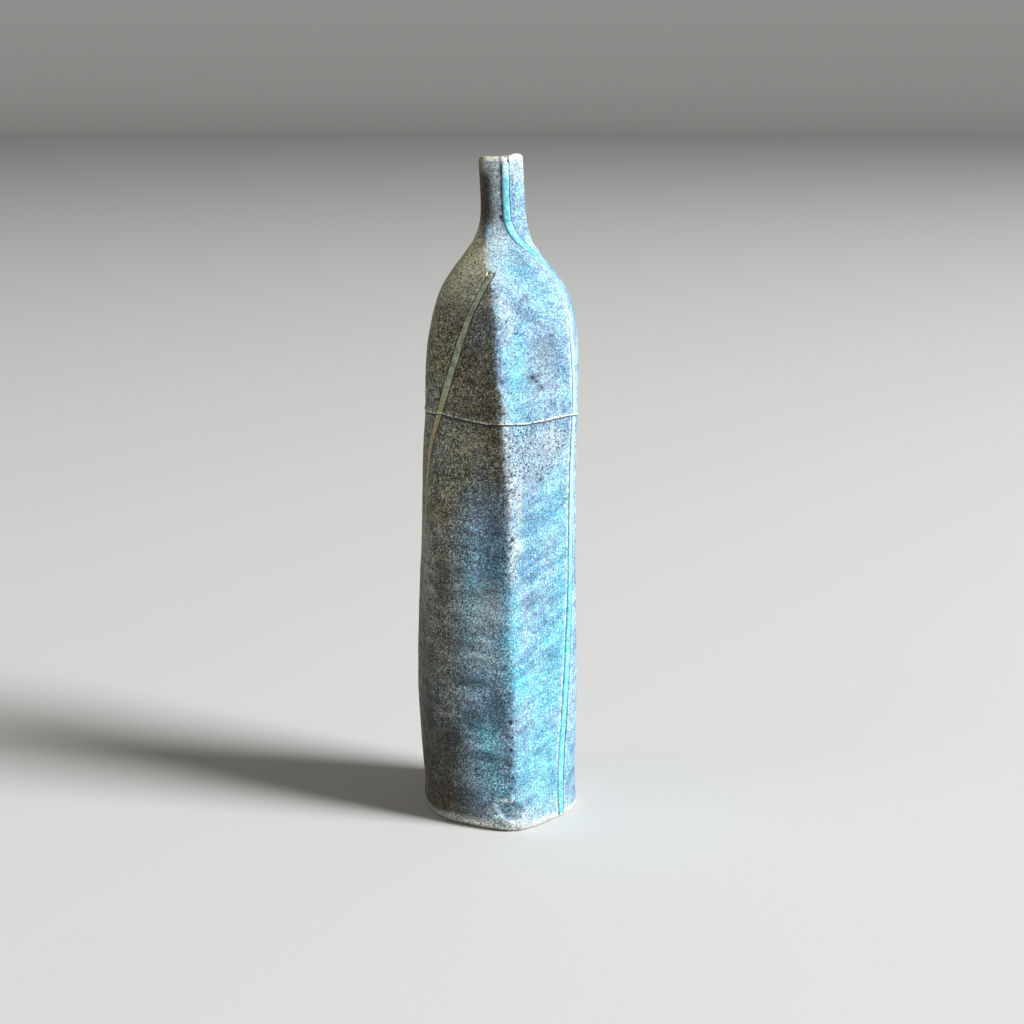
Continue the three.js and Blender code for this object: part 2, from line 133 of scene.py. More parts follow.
# The strips' centre lines: azimuth against height, and width against height.
SEAM_STRIP_AZIMUTH = [
    (0, 51.5), (50, 58.5), (70, 61.5), (100, 64), (155, 61.5), (180, 58.5), (193, 62), (203, 69), (209, 73),
    (213, 65), (216.5, 49), (220, 30), (223.5, 17), (226.5, 11), (233, 9), (HEIGHT, 12),
]
SEAM_STRIP_WIDTH = [
    (0, 2.9), (60, 2.5), (110, 2.2), (155, 2.1), (195, 2.3), (215, 2.9), (235, 2.7), (HEIGHT, 2.6),
]
SEAM_STRIP_ENDS = (2.0, 247.2)
DIAGONAL_STRIP_AZIMUTH = [
    (80, -112), (97, -96), (115, -75), (128, -64.5), (146, -54.5), (158, -48), (176, -38.3), (192, -29),
    (204, -17), (209, -11),
]
DIAGONAL_STRIP_WIDTH = [(80, 1.9), (150, 2.1), (158, 2.6), (209, 2.2)]
DIAGONAL_STRIP_ENDS = (82.0, 208.0)
# Beyond the strip's upper end the mesh lines swing away, to keep clear of the neck.
DIAGONAL_MESH_AZIMUTH = DIAGONAL_STRIP_AZIMUTH + [(216, -40), (222, -75), (230, -88)]


# ---- curves and noise

def smooth_curve(points):
    """Smooth curve through (at, value) points that never overshoots between them."""
    at, value = np.array(points, float).T
    steps = np.diff(value) / np.diff(at)
    slopes = np.empty(len(at))
    slopes[0], slopes[-1] = steps[0], steps[-1]
    before, after = steps[:-1], steps[1:]
    same_way = before * after > 0
    total = np.where(same_way, before + after, 1.0)
    slopes[1:-1] = np.where(same_way, 2 * before * after / total, 0.0)

    def curve(x):
        x = np.clip(np.asarray(x, float), at[0], at[-1])
        i = np.clip(np.searchsorted(at, x) - 1, 0, len(at) - 2)
        span = at[i + 1] - at[i]
        t = (x - at[i]) / span
        start = (1 + 2 * t) * (1 - t) ** 2 * value[i] + t * (1 - t) ** 2 * span * slopes[i]
        end = t * t * (3 - 2 * t) * value[i + 1] - t * t * (1 - t) * span * slopes[i + 1]
        return start + end

    return curve


half_width = smooth_curve(HALF_WIDTH)
lean = smooth_curve(LEAN)
arris_azimuth = smooth_curve(ARRIS_AZIMUTH)
corner_sharpness = smooth_curve(CORNER_SHARPNESS)


def smoothstep(x, start, end):
    t = np.clip((np.asarray(x, float) - start) / (end - start), 0, 1)
    return t * t * (3 - 2 * t)


def falling(x, start, end):
    return 1 - smoothstep(x, start, end)


def band(x, edges):
    """One between the middle two edges, fading to nothing at the outer two."""
    return smoothstep(x, *edges[:2]) * falling(x, *edges[2:])


def bell(distance, spread):
    return np.exp(-((np.asarray(distance, float) / spread) ** 2))


def sine(degrees):
    return np.sin(np.radians(degrees))


def cosine(degrees):
    return np.cos(np.radians(degrees))


def signed_angle(degrees):
    return (np.asarray(degrees, float) + 180) % 360 - 180


def lattice(x, y, z, seed):
    """A repeatable number from 0 to 1 for each whole-numbered point."""
    mixed = (x * 374761393 + y * 668265263 + z * 1440662683 + seed * 974711) & 0xFFFFFFFF
    mixed = ((mixed ^ (mixed >> 13)) * 1274126177) & 0xFFFFFFFF
    mixed = ((mixed ^ (mixed >> 16)) * 668265263) & 0xFFFFFFFF
    return ((mixed >> 8) & 0xFFFF) / 65535.0


def noise(points, size, seed):
    """Smooth value noise from -1 to 1 whose features are about size millimetres across."""
    scaled = points / size
    whole = np.floor(scaled).astype(np.int64)
    part = scaled - whole
    part = part * part * (3 - 2 * part)
    total = 0.0
    for corner in np.ndindex(2, 2, 2):
        weight = np.prod(np.abs(1 - np.array(corner) - part), -1)
        total = total + weight * lattice(*np.moveaxis(whole + corner, -1, 0), seed)
    return 2 * total - 1


def rough_noise(points, size, seed, octaves=3):
    """Noise with finer and fainter layers on top, still within -1 to 1."""
    total, weight = 0.0, 0.0
    for octave in range(octaves):
        share = 0.5**octave
        total = total + share * noise(points, size * share, seed + 31 * octave)
        weight += share
    return total / weight


def upright(z):
    """Points up the middle of the vase, where the noise along a strip is read."""
    return np.stack([0 * z, 0 * z, z], -1)


def circle(azimuth, radius):
    """Points round a level circle, where the noise of an edge is read."""
    return np.stack([radius * sine(azimuth), -radius * cosine(azimuth), 0 * azimuth], -1)


# ---- section shape

def waist_seam(azimuth):
    wave = 0.85 * sine(azimuth) + 0.85 * cosine(3 * azimuth) - 0.25 * sine(7 * azimuth + 60)
    return WAIST_HEIGHT - wave


def neck_seam(azimuth):
    return NECK_JOINT_HEIGHT + 0.8 * sine(2 * azimuth + 20)


def rim_height(azimuth):
    from_bump = signed_angle(azimuth - RIM_BUMP_AZIMUTH)
    return RIM_LOW + (HEIGHT - RIM_LOW) * bell(from_bump, RIM_BUMP_SPREAD)


def outline(angle, sharpness):
    """Radius of a six-sided outline whose flats lie one unit from the centre."""
    total = 0.0
    for flat in range(-150, 180, 60):
        total = total + np.maximum(cosine(angle - flat), 1e-6) ** sharpness
    return total ** (-1 / sharpness)


def foot_share(z):
    """One at the table, falling to nothing at the top of the keel."""
    return falling(z, 0, KEEL_TOP)


def outside_sharpness(z, angle):
    soft = corner_sharpness(z)
    fade = falling(z, *ARRIS_FADE)
    crisp = ARRIS_SHARPNESS + (FOOT_ARRIS_SHARPNESS - ARRIS_SHARPNESS) * foot_share(z)
    return soft + (crisp - soft) * bell(signed_angle(angle), ARRIS_SPREAD) * fade


def section_point(z, azimuth, radius):
    z, azimuth, radius = np.broadcast_arrays(z, azimuth, radius)
    return np.stack([lean(z) + radius * sine(azimuth), -radius * cosine(azimuth), z], -1)


def outside_point(z, azimuth, depth=0.0):
    angle = azimuth - arris_azimuth(z)
    keel = KEEL_RISE * bell(signed_angle(angle), KEEL_SPREAD) * foot_share(z)
    radius = (half_width(z) - depth) * outline(angle, outside_sharpness(z, angle)) + keel
    return section_point(z, azimuth, radius)


def inside_point(z, azimuth, depth):
    angle = azimuth - arris_azimuth(z)
    return section_point(z, azimuth, (half_width(z) - depth) * outline(angle, INSIDE_SHARPNESS))


def outside_normal(z, azimuth):
    up = outside_point(z + 0.4, azimuth) - outside_point(z - 0.4, azimuth)
    around = outside_point(z, azimuth + 1.5) - outside_point(z, azimuth - 1.5)
    normal = np.cross(around, up)
    return normal / np.linalg.norm(normal, axis=-1, keepdims=True)


def section_radius(z, azimuth):
    point = outside_point(z, azimuth)
    return np.hypot(point[..., 0] - lean(z), point[..., 1])


# ---- strips and mesh lines

class Strip:
    """A strip of clay on the outside face: where its centre line runs and how wide it is."""

    def __init__(self, azimuths, widths, ends):
        self.azimuth_at = smooth_curve(azimuths)
        self.width_at = smooth_curve(widths)
        self.ends = ends

    def azimuth_beside(self, z, across):
        """Azimuth of a point on the face, across millimetres to the side of the centre line."""
        centre = self.azimuth_at(z)
        radius = section_radius(z, centre)
        drift = np.radians(self.azimuth_at(z + 0.5) - self.azimuth_at(z - 0.5)) * radius
        climb = np.hypot(1.0, half_width(z + 0.5) - half_width(z - 0.5))
        slant = np.hypot(1.0, drift / climb)
        return centre + np.degrees(across * slant / radius)

    def across(self, z, azimuth):
        """Millimetres from the centre line to a point on the face, the reverse of azimuth_beside."""
        degree = self.azimuth_beside(z, 1.0) - self.azimuth_at(z)
        return signed_angle(azimuth - self.azimuth_at(z)) / degree

    def groove_half(self, z):
        """Half the groove's width: it keeps the clearance and opens a little here and there."""
        wander = rough_noise(upright(z), 5.0, 7, 3)
        return self.width_at(z) / 2 + CLEARANCE + 0.05 * (1 + wander)

    def groove_share(self, z):
        low, high = self.ends
        return band(z, (low - 0.4, low - 0.05, high + 0.05, high + 0.4))


SEAM_STRIP = Strip(SEAM_STRIP_AZIMUTH, SEAM_STRIP_WIDTH, SEAM_STRIP_ENDS)
DIAGONAL_STRIP = Strip(DIAGONAL_MESH_AZIMUTH, DIAGONAL_STRIP_WIDTH, DIAGONAL_STRIP_ENDS)

# Mesh lines across a groove: (share of the half width, millimetres beyond it, share of the depth).
GROOVE_LINES = [
    (-1, -0.30, 0.0), (-1, -0.12, 0.04), (-1, -0.03, 0.22), (-1, 0.03, 1.0),
    (-0.4, 0, 1.0), (0.4, 0, 1.0),
    (1, -0.03, 1.0), (1, 0.03, 0.22), (1, 0.12, 0.04), (1, 0.30, 0.0),
]
GROOVE_DEPTH = STRIP_SUNK + CLEARANCE


class Columns:
    """Mesh lines that run up a wall: evenly spaced between its strips, and along each groove's edges."""

    def __init__(self, strips, counts):
        self.strips = strips
        self.counts = counts
        self.total = sum(counts) + len(GROOVE_LINES) * len(strips)

    def edge(self, strip, side, z):
        return strip.azimuth_beside(z, side * (strip.groove_half(z) + 0.30))

    def starts(self):
        """Number, strip, count of even lines, and first line of each strip's stretch of the wall."""
        start = 0
        for number, (strip, count) in enumerate(zip(self.strips, self.counts)):
            yield number, strip, count, start
            start += len(GROOVE_LINES) + count

    def azimuths(self, z):
        """Azimuth of every mesh line at heights z, an array of rows by columns."""
        found = []
        share, extra, _ = np.array(GROOVE_LINES).T
        for number, strip, count, start in self.starts():
            here = z[:, start:start + len(GROOVE_LINES)]
            found.append(strip.azimuth_beside(here, share * strip.groove_half(here) + extra))
            start += len(GROOVE_LINES)
            here = z[:, start:start + count]
            following = self.strips[(number + 1) % len(self.strips)]
            lap = 360 if number == len(self.strips) - 1 else 0
            left = self.edge(strip, 1, here)
            right = self.edge(following, -1, here) + lap
            found.append(left + (right - left) * (np.arange(count) + 1) / (count + 1))
        return np.concatenate(found, 1)

    def groove_depth(self, z):
        """How deep each mesh line lies in a groove, in millimetres, at heights z."""
        depth = np.zeros_like(z)
        share = np.array(GROOVE_LINES)[:, 2]
        for _, strip, _, start in self.starts():
            lines = slice(start, start + len(GROOVE_LINES))
            depth[:, lines] = share * GROOVE_DEPTH * strip.groove_share(z[:, lines])
        return depth


# ---- surface detail

# Craters in the outside face that have a place of their own: (height, degrees from the front
# arris, radius). They follow the arris, the neck strip's right edge and the foot of the neck.
ARRIS_CRATERS = [
    (112, 1, 1.0), (109, -1, 0.8), (101, 2, 0.6), (86, 1, 0.5), (43, -2, 0.9), (37, -1, 0.7),
    (32, -2, 0.8), (26, -3, 0.7), (21, -1, 0.8), (17, -2, 0.6), (142, -2, 0.6), (136, 2, 0.7),
]
NECK_CRATERS = [(227.3, 42, 0.9), (231, 44, 0.5)]
NECK_CRATERS += [(228.5 + 1.7 * i, 77 + (i % 3), 0.42) for i in range(9)]
SMUDGE_CRATERS = [(171, 24, 0.9), (169.5, 27, 0.7), (167, 31, 0.6), (196, 28, 0.5), (133, 26, 0.8)]
SCATTERED_CRATERS = 170
SCATTERED_HEIGHTS = (8, 205)
SCATTERED_RADII = (0.3, 0.6)
CRATER_HOLLOW = 0.6

SCORED_OFFSET = 3.0
SCORED_SPREAD = 0.45
SCORED_DEPTH = 0.25
SCORED_HEIGHTS = (112, 122, 150, 154)

SEAL_HEIGHT = 8.2
SEAL_OFFSET = -1.6
SEAL_HALF_WIDTH = 5.0
SEAL_HALF_HEIGHT = 4.2
SEAL_DEPTH = 1.1


def crater_list():
    random = np.random.default_rng(12)
    craters = ARRIS_CRATERS + NECK_CRATERS + SMUDGE_CRATERS
    for _ in range(SCATTERED_CRATERS):
        place = random.uniform(*SCATTERED_HEIGHTS), random.uniform(-180, 180)
        craters.append((*place, random.uniform(*SCATTERED_RADII)))
    return craters


CRATERS = crater_list()


def arc_from(z, angle, turn):
    """Distance round the face, in millimetres, from a turn measured from the front arris."""
    return np.radians(signed_angle(angle - turn)) * half_width(z)


def crater_depth(z, angle):
    depth = np.zeros_like(z)
    for height, turn, size in CRATERS:
        near = np.abs(z - height) < size
        away = np.hypot(arc_from(z[near], angle[near], turn), z[near] - height) / size
        depth[near] = np.maximum(depth[near], CRATER_HOLLOW * size * np.clip(1 - away * away, 0, 1))
    return depth


def seal_distance(z, angle):
    """Distance from the centre of the plain pressed oval at the foot, 1 at its edge."""
    across = arc_from(z, angle, 0) - SEAL_OFFSET
    return np.hypot(across / SEAL_HALF_WIDTH, (z - SEAL_HEIGHT) / SEAL_HALF_HEIGHT)


def scored_line(z, angle):
    """The line scored beside the slanting strip below the waist: one on the line, 0 away from it."""
    beside = DIAGONAL_STRIP.across(z, angle + arris_azimuth(z)) + SCORED_OFFSET
    return bell(beside, SCORED_SPREAD) * band(z, SCORED_HEIGHTS)


# Unevenness of the face: how far it swings and the size of its features, in millimetres.
HAND_WAVES = (0.20, 26.0)
HAND_SINK = 0.06
THUMB_DENTS = (0.11, 9.0)
COARSE_GRAIN = (0.05, 2.6)
FINE_GRAIN = (0.035, 1.2)
HIGHEST_GRAIN = 0.16

# Ridges that a scraper left on the lower right face. Turns are degrees from the front arris.
SCRAPED_HEIGHT = 0.06
SCRAPED_SLOPE = 0.42
SCRAPED_PITCH = 0.95
SCRAPED_SWAY = (2.2, 14.0)
SCRAPED_TURNS = (2, 14, 52, 66)
SCRAPED_TOP = (88, 130)

# Wear and pits along the front arris: depth in millimetres and reach in degrees.
ARRIS_WEAR = (0.25, 2.4)
ARRIS_PITS = (0.42, 4.5)
ARRIS_WEAR_SIZE = 5.0
ARRIS_PIT_SIZE = 1.5
ARRIS_WEAR_TOP = (196, 210)


def skin_height(points, z, angle):
    """Height of the clay over the smooth shape, in millimetres, without its craters."""
    hand = HAND_WAVES[0] * noise(points, HAND_WAVES[1], 1) - HAND_SINK
    hand = hand + THUMB_DENTS[0] * noise(points, THUMB_DENTS[1], 2)
    grain = COARSE_GRAIN[0] * rough_noise(points, COARSE_GRAIN[1], 3, 2)
    grain = grain + FINE_GRAIN[0] * noise(points, FINE_GRAIN[1], 4)
    across = z - SCRAPED_SLOPE * arc_from(z, angle, 0)
    streak = np.sin(across * SCRAPED_PITCH + SCRAPED_SWAY[0] * noise(points, SCRAPED_SWAY[1], 5))
    ridges = SCRAPED_HEIGHT * streak * band(angle, SCRAPED_TURNS) * falling(z, *SCRAPED_TOP)
    rubbed = ARRIS_WEAR[0] * bell(angle, ARRIS_WEAR[1])
    rubbed = rubbed * (1 + rough_noise(points, ARRIS_WEAR_SIZE, 8, 3))
    pits = ARRIS_PITS[0] * bell(angle, ARRIS_PITS[1])
    pits = pits * np.maximum(noise(points, ARRIS_PIT_SIZE, 9), 0)
    worn = (rubbed + pits) * falling(z, *ARRIS_WEAR_TOP)
    scored = SCORED_DEPTH * scored_line(z, angle)
    return np.minimum(hand + grain + ridges - worn, HIGHEST_GRAIN) - scored - SKIN_INSET


# ---- colour zones

# Smudges in the glaze: (height, degrees from the arris, half height, half width, strength). The dark ones
# far round the left side, as at -66 and -70 degrees, are painted shade.
DARK_SMUDGES_AND_SHADE = [
    (57, -28, 1.8, 14, 1.2), (48.5, -11, 8.5, 5.0, 1.2), (43, -27, 4.0, 7, 0.9), (28.5, -19, 1.9, 13, 1.3),
    (34, -46, 5, 10, 0.5), (112, -11, 9, 7, 0.7), (97, -15, 13, 9, 0.55), (93, -52, 9, 6, 0.75),
    (72, -42, 9, 8, 0.6), (22, -66, 28, 26, 0.9), (9, -36, 8, 22, 0.65), (60, -70, 20, 14, 0.5),
    (171, 25, 1.8, 5, 1.0), (167.5, 30, 1.5, 4, 0.8), (134, 24, 4, 6, 0.8), (143, 34, 2.2, 10, 0.4),
    (160, 30, 3, 20, 0.35), (118, 18, 3, 14, 0.3), (104, 24, 2.6, 14, 0.35), (88, 22, 2.4, 18, 0.5),
    (79, 28, 2.2, 12, 0.4), (66, 32, 2.6, 10, 0.4), (44, 38, 2.0, 9, 0.5), (37, 24, 2.0, 8, 0.3),
    (29, 22, 2.0, 12, 0.45), (18, 34, 2.6, 12, 0.4), (186, 34, 7, 12, 0.45), (196, 22, 5, 9, 0.5),
    (178, 40, 5, 8, 0.4), (212, 44, 5, 12, 0.35),
]
TEAL_SMUDGES = [
    (80, -2, 22, 8, 1.0), (60, 4, 12, 8, 0.8), (88, -30, 13, 10, 0.9), (100, -24, 14, 16, 0.5),
    (66, -20, 11, 14, 0.8), (30, -14, 14, 9, 0.8), (38, -24, 6, 12, 0.6), (14, -10, 10, 8, 0.5),
    (55, 24, 13, 22, 0.7), (24, 26, 20, 24, 0.75), (78, 36, 18, 20, 0.45), (100, 48, 32, 10, 0.45),
    (66, 46, 20, 9, 0.5), (126, 34, 12, 12, 0.35), (180, 14, 12, 12, 0.6),
    (212, 20, 9, 30, 0.65), (162, 12, 9, 10, 0.4), (200, 44, 9, 14, 0.5), (110, 18, 12, 14, 0.3),
]
# Pale smudges in the glaze; the two on the left shoulder, at -36 and -66 degrees, are painted light.
PALE_SMUDGES_AND_LIGHT = [
    (110, 6, 4, 5, 0.4), (143, 22, 10, 20, 0.25), (147, 42, 6, 10, 0.3), (128, 7, 10, 4, 0.35),
    (176, 34, 12, 12, 0.2),
    (190, 8, 8, 6, 0.3), (218, 24, 7, 22, 0.45), (210, -36, 13, 40, 1.0), (192, -66, 12, 14, 0.35),
    (5, 6, 5, 60, 0.2), (236, 36, 12, 20, 0.4), (146, -32, 6, 24, 0.3), (84, -20, 10, 15, 0.3),
    (66, -20, 7, 13, 0.3),
]


def brush_strokes(points, z, angle):
    """Brushed strokes of the glaze, from -1 to 1: level on the left, rising on the right."""
    along = arc_from(z, angle, 0)
    slope = np.where(along > 0, 0.36, -0.05) * falling(np.abs(angle), 110, 165)
    rise = (z - slope * along) / 1.9 + 0.7 * noise(points, 15.0, 71)
    return rough_noise(np.stack([points[..., 0] / 9, points[..., 1] / 9, rise], -1), 1.0, 72, 3)


# Heights at which a zone of the glaze, or of the shade and light painted on it, starts, is full, starts to
# fade and ends.
NECK_ZONE = (222, 228, 240, 249)
SHOULDER_ZONE = (200, 212, 220, 226)
UNDER_LIP_ZONE = (122, 148, 151, 158)
LOW_ARRIS_ZONE = (8, 16, 56, 66)
MIDDLE_ARRIS_ZONE = (84, 96, 150, 156)
UPPER_ARRIS_ZONE = (148, 156, 200, 208)
RIDGE_ZONE = (92, 100, 150, 178)
# Degrees from the front arris at which the left side's warmer glaze and painted shade begin, are far round,
# and end.
LEFT_FROM = (-1, 5)
FAR_LEFT_FROM = (20, 52)
LEFT_UNTIL = (112, 160)
# Turns that bound the painted shade on the neck's left side.
NECK_SHADE_TURNS = (-165, -120, 2, 32)
# Sizes of the noise that breaks up the zones, in millimetres.
PATCH_SIZE = 22.0
BLOT_SIZE = 6.0
FLECK_SIZE = 1.7
BREAK_SIZE = 2.4


class Glaze:
    """The glaze over a face, with shade and light painted on it. Each zone gives its strength at every
    point, mostly from 0 to 1.
    """

    def __init__(self, points, z, angle, craters, groove):
        self.points, self.z, self.angle = points, z, angle
        self.craters, self.groove = craters, groove
        self.patch = rough_noise(points, PATCH_SIZE, 21, 3)
        self.blot = rough_noise(points, BLOT_SIZE, 22, 3)
        self.flecks = rough_noise(points, FLECK_SIZE, 74, 2)
        azimuth = angle + arris_azimuth(z)
        self.over_waist = z - waist_edge(azimuth)
        self.from_strip = SEAM_STRIP.across(z, azimuth)
        self.strip_half = SEAM_STRIP.width_at(z) / 2
        self.seal = seal_distance(z, angle)
        ragged = angle + 5.0 * self.flecks * falling(z, 214, 222)
        # The left facet: its warmer glaze and painted shade follow this mask.
        self.left = smoothstep(-ragged, *LEFT_FROM) * falling(-angle + 22 * self.patch, *LEFT_UNTIL)
        self.far_left = smoothstep(-angle, *FAR_LEFT_FROM)
        # Painted shade on the neck's left side: it darkens, warms and loses light grains wherever this mask
        # reaches.
        self.neck_shade = band(z, NECK_ZONE) * band(angle + 12 * self.blot, NECK_SHADE_TURNS)
        # Dark smudges, with painted shade far round the left side.
        self.marks = self.smudged(DARK_SMUDGES_AND_SHADE)
        self.foot = falling(z + 1.3 * self.blot, 1.9, 5.0)
        self.lip = bell(self.over_waist - 0.3, 0.42) * (z > 150) * (0.8 + 0.9 * self.blot)

    def smudged(self, entries):
        """The strength of a list of smudges, whose edges wander with the blots."""
        total = np.zeros_like(self.z)
        for height, turn, tall, wide, strength in entries:
            around = signed_angle(self.angle - turn) / wide
            reach = np.hypot((self.z - height) / tall, around) + 0.35 * self.blot
            total = total + strength * np.exp(-np.clip(reach, 0, None) ** 3)
        return total

    def warm(self):
        """Olive and brown on the left, most of all far round it, above the waist and on the neck's left:
        partly the glaze's own colour, partly painted warm shade on the side turned from the light.
        """
        warm = np.clip(0.9 * self.far_left + 0.85 * smoothstep(self.z, 112, 142), 0, 1)
        warm = self.left * warm * (1 + 0.35 * self.patch) + 0.10 * np.maximum(self.patch, 0)
        # Painted warm shade on the neck's left.
        warm = np.clip(warm + 0.9 * self.neck_shade, 0, 1)
        return warm * (1 - 0.7 * np.clip(self.foot + self.lip, 0, 1))

    def teal(self):
        return np.clip(self.smudged(TEAL_SMUDGES) * (0.85 + 0.7 * self.patch), 0, 1)

    def dark(self):
        """Painted shade, dark blue-grey on the left near the arris, beside the low arris and on the neck's
        left; the smudges, partly painted shade far round the left; and the scored line.
        """
        # Painted shade on the left facet, darkest near the arris.
        left_shade = 0.34 + 0.34 * smoothstep(self.z, 90, 120) + 0.3 * self.patch
        left_shade = self.left * (1 - 0.7 * self.far_left) * left_shade * (1 - 0.7 * self.teal())
        # Painted shade in a band just left of the low arris.
        arris_shade = bell(self.angle + 2.0, 2.6) * band(self.z, LOW_ARRIS_ZONE) * (0.55 + 0.6 * self.blot)
        return left_shade + self.marks + self.neck_shade + arris_shade + scored_line(self.z, self.angle)

    def pale(self):
        """The foot, pale wear on the arris's crest under a painted highlight, the lip, the mouth, a painted
        highlight on the strip's margins, the seal's edge, and pale smudges with painted light on the left
        shoulder.
        """
        # Painted highlight along the arris's crest, over pale wear.
        ridge_wear_and_highlight = 0.8 * bell(self.angle - 0.6, 2.8) * band(self.z, RIDGE_ZONE) * (0.5 + 0.7 * self.blot)
        mouth = smoothstep(self.z + 0.7 * self.blot, 246.8, 248.6)
        collar = 0.55 * smoothstep(self.z, 236, 247) * (0.7 + 0.9 * self.blot)
        beside = np.abs(self.from_strip) - self.strip_half
        # Painted highlight on the raised margins beside the seam strip.
        margin_highlight = 0.6 * bell(beside - 0.95, 0.5) * (0.8 + 0.6 * self.blot) * falling(self.z, 200, 220)
        seal_edge = bell(self.seal - 1.0 - 0.3 * self.blot, 0.2) * np.clip(2.6 * self.flecks, 0, 1)
        total = self.foot + ridge_wear_and_highlight + self.lip + mouth + collar + margin_highlight + seal_edge
        # Pale smudges, with painted light on the left shoulder.
        return total + self.smudged(PALE_SMUDGES_AND_LIGHT)

    def freckle(self):
        """Iron freckles, thickest under the lip, along the arris and on the neck's left edge."""
        freckle = 0.10 + 0.25 * self.left
        freckle = freckle + band(self.z, UNDER_LIP_ZONE) * (0.3 + 1.1 * bell(self.angle - 12, 26))
        freckle = freckle + 0.5 * bell(self.angle + 1, 5) * band(self.z, UPPER_ARRIS_ZONE)
        freckle = freckle + 0.6 * bell(self.angle + 1, 7) * band(self.z, MIDDLE_ARRIS_ZONE)
        # On the neck's left edge these freckles deepen its painted shade.
        freckle = freckle + 0.9 * self.neck_shade * falling(self.z, 234, 244)
        return freckle * (0.85 + 0.8 * self.blot)

    def hollows_and_shade(self):
        """Darker in craters and grooves; painted shade in the seal's hollow; painted shadow under the lip
        and along the neck strip's left side.
        """
        broken = 0.75 + 0.5 * rough_noise(self.points, BREAK_SIZE, 73, 2)
        hollows = np.maximum(self.craters / 0.2, smoothstep(self.groove, 0.15, 0.8) * broken)
        hollows = hollows * (1 - 0.85 * smoothstep(self.z, 243, 247))
        # Painted shade in the pressed oval.
        seal_shade = 0.55 * falling(self.seal, 0.4, 0.8) * np.clip(0.4 + 1.6 * self.blot, 0, 1)
        # Painted shadow under the waist lip.
        under_lip_shadow = 0.75 * bell(self.over_waist + 0.4, 0.4) * (self.z < 157)
        # Painted shadow along the neck strip's left side.
        strip_shadow = bell(self.from_strip + self.strip_half + 0.6, 0.5) * smoothstep(self.z, 222, 228)
        strip_shadow = strip_shadow * np.clip(0.5 + 1.5 * self.flecks, 0, 1)
        return np.maximum.reduce([hollows, seal_shade, under_lip_shadow, strip_shadow])

    def brush(self):
        """Brushed lights and darks about a half, with painted shade low on the far left and on the neck's
        left, and painted light on the left shoulder.
        """
        strength = (0.5 + 0.2 * self.left) * (1 - 0.4 * smoothstep(self.z, 100, 150))
        brush = 0.5 + strength * brush_strokes(self.points, self.z, self.angle)
        # Painted shade low on the far left.
        brush = brush - 0.3 * self.left * self.far_left * falling(self.z, 60, 100)
        # Painted light on the left shoulder, and painted shade on the neck's left.
        return brush + 0.3 * self.left * band(self.z, SHOULDER_ZONE) - 0.45 * self.neck_shade

    def salt(self):
        """How strongly light and dark grains show."""
        plain = (1 - 0.6 * np.clip(self.marks, 0, 1)) * (1 - 0.75 * self.neck_shade)
        return (0.42 + 0.38 * self.left) * plain


def colour_zones(points, z, angle, craters, groove):
    """Every zone at every point, from 0 to 1, under the name that the glaze's material reads."""
    glaze = Glaze(points, z, angle, craters, groove)
    zones = {
        "warm": glaze.warm(),
        "dark": glaze.dark(),
        "teal": glaze.teal(),
        "pale": glaze.pale(),
        "freckle": glaze.freckle(),
        "hollows_and_shade": glaze.hollows_and_shade(),
        "brush": glaze.brush(),
        "salt": glaze.salt(),
    }
    return {key: np.clip(strength, 0, 1) for key, strength in zones.items()}


# ---- mesh making

def add_object(name, data):
    item = bpy.data.objects.new(name, data)
    bpy.context.scene.collection.objects.link(item)
    return item


def add_piece(name, points, faces, node, slot, zones=None):
    """A mesh object from points in millimetres, riding on the vase in place of its CAD node."""
    mesh = bpy.data.meshes.new(name)
    mesh.from_pydata((points.reshape(-1, 3) * MM).tolist(), [], faces)
    for key, values in (zones or {}).items():
        layer = mesh.attributes.new(key, "FLOAT", "POINT")
        layer.data.foreach_set("value", np.asarray(values, np.float32).ravel())
    mesh.polygons.foreach_set("use_smooth", [True] * len(mesh.polygons))
    mesh.set_sharp_from_angle(angle=math.radians(SHARP_ANGLE))
    piece = add_object(name, mesh)
    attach(piece, "root")
    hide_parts(node)
    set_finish(piece, slot)


def ring_faces(rows, columns, joined):
    """Four-sided faces over rings of points, which close on themselves, and over the rows if joined."""
    grid = np.arange(rows * columns).reshape(rows, columns)
    if joined:
        grid = np.vstack([grid, grid[:1]])
    grid = np.hstack([grid, grid[:, :1]])
    quads = np.stack([grid[:-1, :-1], grid[:-1, 1:], grid[1:, 1:], grid[1:, :-1]], -1)
    return quads.reshape(-1, 4).tolist()


def capped(rings):
    """Points and faces of a bar: its rings, and a fan of triangles over each end."""
    rows, columns = rings.shape[:2]
    points = np.concatenate([rings.reshape(-1, 3), rings[:1].mean(1), rings[-1:].mean(1)])
    faces = ring_faces(rows, columns, False)
    top = (rows - 1) * columns
    for j in range(columns):
        side = (j + 1) % columns
        faces.append([rows * columns, side, j])
        faces.append([rows * columns + 1, top + j, top + side])
    return points, faces


def settle(columns, shares, low, high):
    """Heights and azimuths of a grid whose lowest and highest rows follow wavy edges."""
    z = np.repeat(low(0.0) + shares[:, None] * (high(0.0) - low(0.0)), columns.total, 1)
    for _ in range(4):
        azimuth = columns.azimuths(z)
        z = low(azimuth) + shares[:, None] * (high(azimuth) - low(azimuth))
    return z, azimuth


def rows_at(columns, rules):
    """Hidden rows that close a wall. Each rule is (height or edge, depth, point maker)."""
    rows = []
    for edge, depth, maker in rules:
        z, azimuth = settle(columns, np.zeros(1), as_edge(edge), as_edge(edge))
        rows.append(maker(z, azimuth, depth))
    return np.concatenate(rows, 0)


def level(value):
    return lambda azimuth: value + 0.0 * np.asarray(azimuth, float)


def as_edge(edge):
    return edge if callable(edge) else level(edge)


def raised(edge, rise):
    return lambda azimuth: edge(azimuth) + rise


